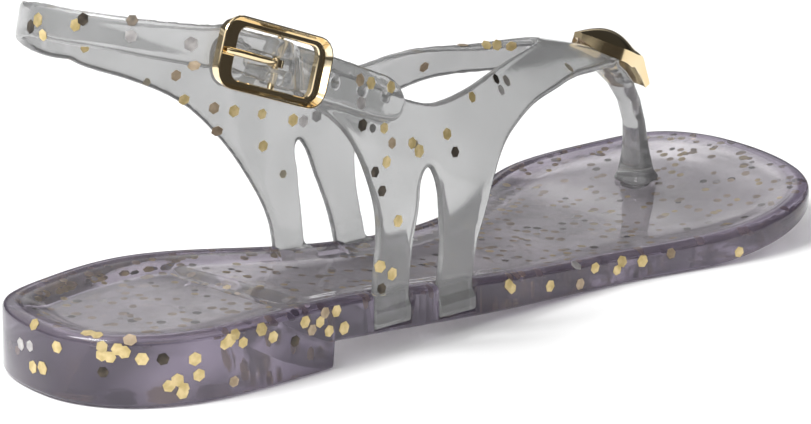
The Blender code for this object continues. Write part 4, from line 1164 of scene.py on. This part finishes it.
def smooth_by_angle(degrees):
    """Node group that shades smooth, with edges over the angle kept sharp."""
    group = bpy.data.node_groups.new("smooth_by_angle", "GeometryNodeTree")
    for way in ("INPUT", "OUTPUT"):
        group.interface.new_socket("Geometry", in_out=way, socket_type="NodeSocketGeometry")
    start = group.nodes.new("NodeGroupInput")
    joints = {"Geometry": start.outputs[0], "Distance": 0.00001}
    whole = add_node(group, "GeometryNodeMergeByDistance", joints)
    faces = add_node(group, "GeometryNodeSetShadeSmooth", {"Geometry": whole.outputs[0]})
    angle = group.nodes.new("GeometryNodeInputMeshEdgeAngle")
    sides = {0: angle.outputs["Unsigned Angle"], 1: math.radians(degrees)}
    wide = add_node(group, "FunctionNodeCompare", sides)
    sharp = {"Geometry": faces.outputs[0], "Selection": wide.outputs["Result"], "Shade Smooth": False}
    edges = add_node(group, "GeometryNodeSetShadeSmooth", sharp, domain="EDGE")
    add_node(group, "NodeGroupOutput", {0: edges.outputs[0]})
    return group


def dress_metal(node, gold, smoothing):
    """A fitting keeps its mesh, and gets its material, its shading and small round edges."""
    node.data.materials.clear()
    node.data.materials.append(gold)
    node.modifiers.new("smooth", "NODES").node_group = smoothing
    edge = node.modifiers.new("edge", "BEVEL")
    edge.width = METAL_EDGE
    edge.segments = 2
    edge.limit_method = "ANGLE"
    edge.angle_limit = math.radians(METAL_EDGE_ANGLE)
    edge.harden_normals = True


# Stage


def plane(name, corners, material):
    mesh = bpy.data.meshes.new(name)
    mesh.from_pydata(corners, [], [(0, 1, 2, 3)])
    mesh.materials.append(material)
    return link(name, mesh)


def make_floor():
    inputs = {"Base Color": (0.92, 0.92, 0.92, 1.0), "Roughness": 0.6, "Specular IOR Level": 0.2}
    corners = [(x * FLOOR_HALF, y * FLOOR_HALF, 0) for x, y in ((-1, -1), (1, -1), (1, 1), (-1, 1))]
    floor = plane("floor", corners, shader_of("floor", inputs)[0])
    floor.location.z = -FLOOR_DROP


def make_card():
    """A dark card at the right front, which only the gloss sees, as a studio sets one for polished metal."""
    inputs = {"Base Color": (0.02, 0.017, 0.015, 1.0), "Roughness": 0.9}
    corners = [(*CARD_FROM, 0.0), (*CARD_TO, 0.0), (*CARD_TO, CARD_HIGH), (*CARD_FROM, CARD_HIGH)]
    card = plane("card", corners, shader_of("card", inputs)[0])
    card.visible_camera = False
    card.visible_diffuse = False
    card.visible_transmission = False
    card.visible_shadow = False


def make_world():
    """Bright above, dark round the horizon and high on the right, as a studio with a tent and a flag."""
    world = bpy.data.worlds.new("studio")
    bpy.context.scene.world = world
    world.use_nodes = True
    tree = world.node_tree
    where = tree.nodes.new("ShaderNodeTexCoord").outputs["Generated"]
    parts = add_node(tree, "ShaderNodeSeparateXYZ", {"Vector": where})
    inputs = {"Value": parts.outputs["Z"], "From Min": SKY_LOW[0], "From Max": SKY_HIGH[0]}
    inputs.update({"To Min": SKY_LOW[1], "To Max": SKY_HIGH[1]})
    height = add_node(tree, "ShaderNodeMapRange", inputs, interpolation_type="SMOOTHSTEP")
    toward = add_node(tree, "ShaderNodeVectorMath", {0: where, 1: DARK_SKY}, operation="DOT_PRODUCT")
    inputs = {"Value": toward.outputs["Value"], "From Min": DARK_SKY_END, "From Max": DARK_SKY_START}
    inputs.update({"To Min": 1.0, "To Max": DARK_SKY_SHARE})
    flag = add_node(tree, "ShaderNodeMapRange", inputs)
    inputs = {0: height.outputs["Result"], 1: flag.outputs["Result"]}
    both = add_node(tree, "ShaderNodeMath", inputs, operation="MULTIPLY")
    inputs = {"Strength": both.outputs[0], "Color": (1.0, 1.0, 1.0, 1.0)}
    fill(tree, tree.nodes["Background"], inputs)


def add_light(name, place, size, power):
    data = bpy.data.lights.new(name, "AREA")
    data.shape = "RECTANGLE"
    data.size, data.size_y = size
    data.energy = power
    lamp = link(name, data)
    lamp.location = place
    lamp.rotation_euler = (Vector(LIGHT_AIM) - Vector(place)).to_track_quat("-Z", "Y").to_euler()


def make_camera():
    azimuth, elevation = math.radians(CAMERA_AZIMUTH), math.radians(CAMERA_ELEVATION)
    back = Vector((
        math.sin(azimuth) * math.cos(elevation),
        -math.cos(azimuth) * math.cos(elevation),
        math.sin(elevation),
    ))
    right = Vector((0, 0, 1)).cross(back).normalized()
    up = back.cross(right)
    roll = math.radians(CAMERA_ROLL)
    turned_right = right * math.cos(roll) + up * math.sin(roll)
    turned_up = up * math.cos(roll) - right * math.sin(roll)
    data = bpy.data.cameras.new("camera")
    data.sensor_width = CAMERA_SENSOR
    data.lens = CAMERA_LENS
    data.clip_start, data.clip_end = 0.05, 50.0
    camera = link("camera", data)
    turn = Matrix((turned_right, turned_up, back)).transposed().to_4x4()
    target = Vector(CAMERA_TARGET) * MM + SHIFT
    camera.matrix_world = Matrix.Translation(target + back * CAMERA_AWAY) @ turn
    bpy.context.scene.camera = camera
    bpy.context.view_layer.update()
    return camera


def main():
    bpy.context.scene.view_settings.view_transform = "Standard"
    camera = make_camera()
    upper, sole = dressed_upper(), dressed_sole()
    mouldings = (
        (upper, "upper", "clear_plastic", clear_plastic()),
        (sole, "sole", "tinted_plastic", tinted_plastic()),
    )
    for piece, node, finish, material in mouldings:
        piece.data.materials.clear()
        piece.data.materials.append(material)
        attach(piece, "root")
        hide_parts(node)
    gold = polished_gold()
    smoothing = smooth_by_angle(METAL_SMOOTH)
    for name in ("buckle_frame", "buckle_prong", "ornament", "ornament_rivet"):
        dress_metal(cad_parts[name], gold, smoothing)
    make_flakes(sole, upper, camera)
    make_floor()
    make_card()
    make_world()
    for name, place, size, power in LIGHTS:
        add_light(name, place, size, power)


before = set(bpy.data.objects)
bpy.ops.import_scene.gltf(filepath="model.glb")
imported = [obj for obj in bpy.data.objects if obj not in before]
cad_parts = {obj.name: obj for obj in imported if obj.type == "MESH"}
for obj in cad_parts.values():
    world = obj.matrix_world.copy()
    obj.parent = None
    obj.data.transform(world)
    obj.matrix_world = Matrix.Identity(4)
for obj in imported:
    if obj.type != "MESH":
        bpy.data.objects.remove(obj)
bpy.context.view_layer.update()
# The shoe's own frame lies in the shared one where the sole's box is
sole_low, sole_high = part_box("sole")
widest = max(inner_width(i / 400) for i in range(401))
SHIFT = Vector((sole_low[0], sole_high[1] - widest * MM, 0.0))
main()
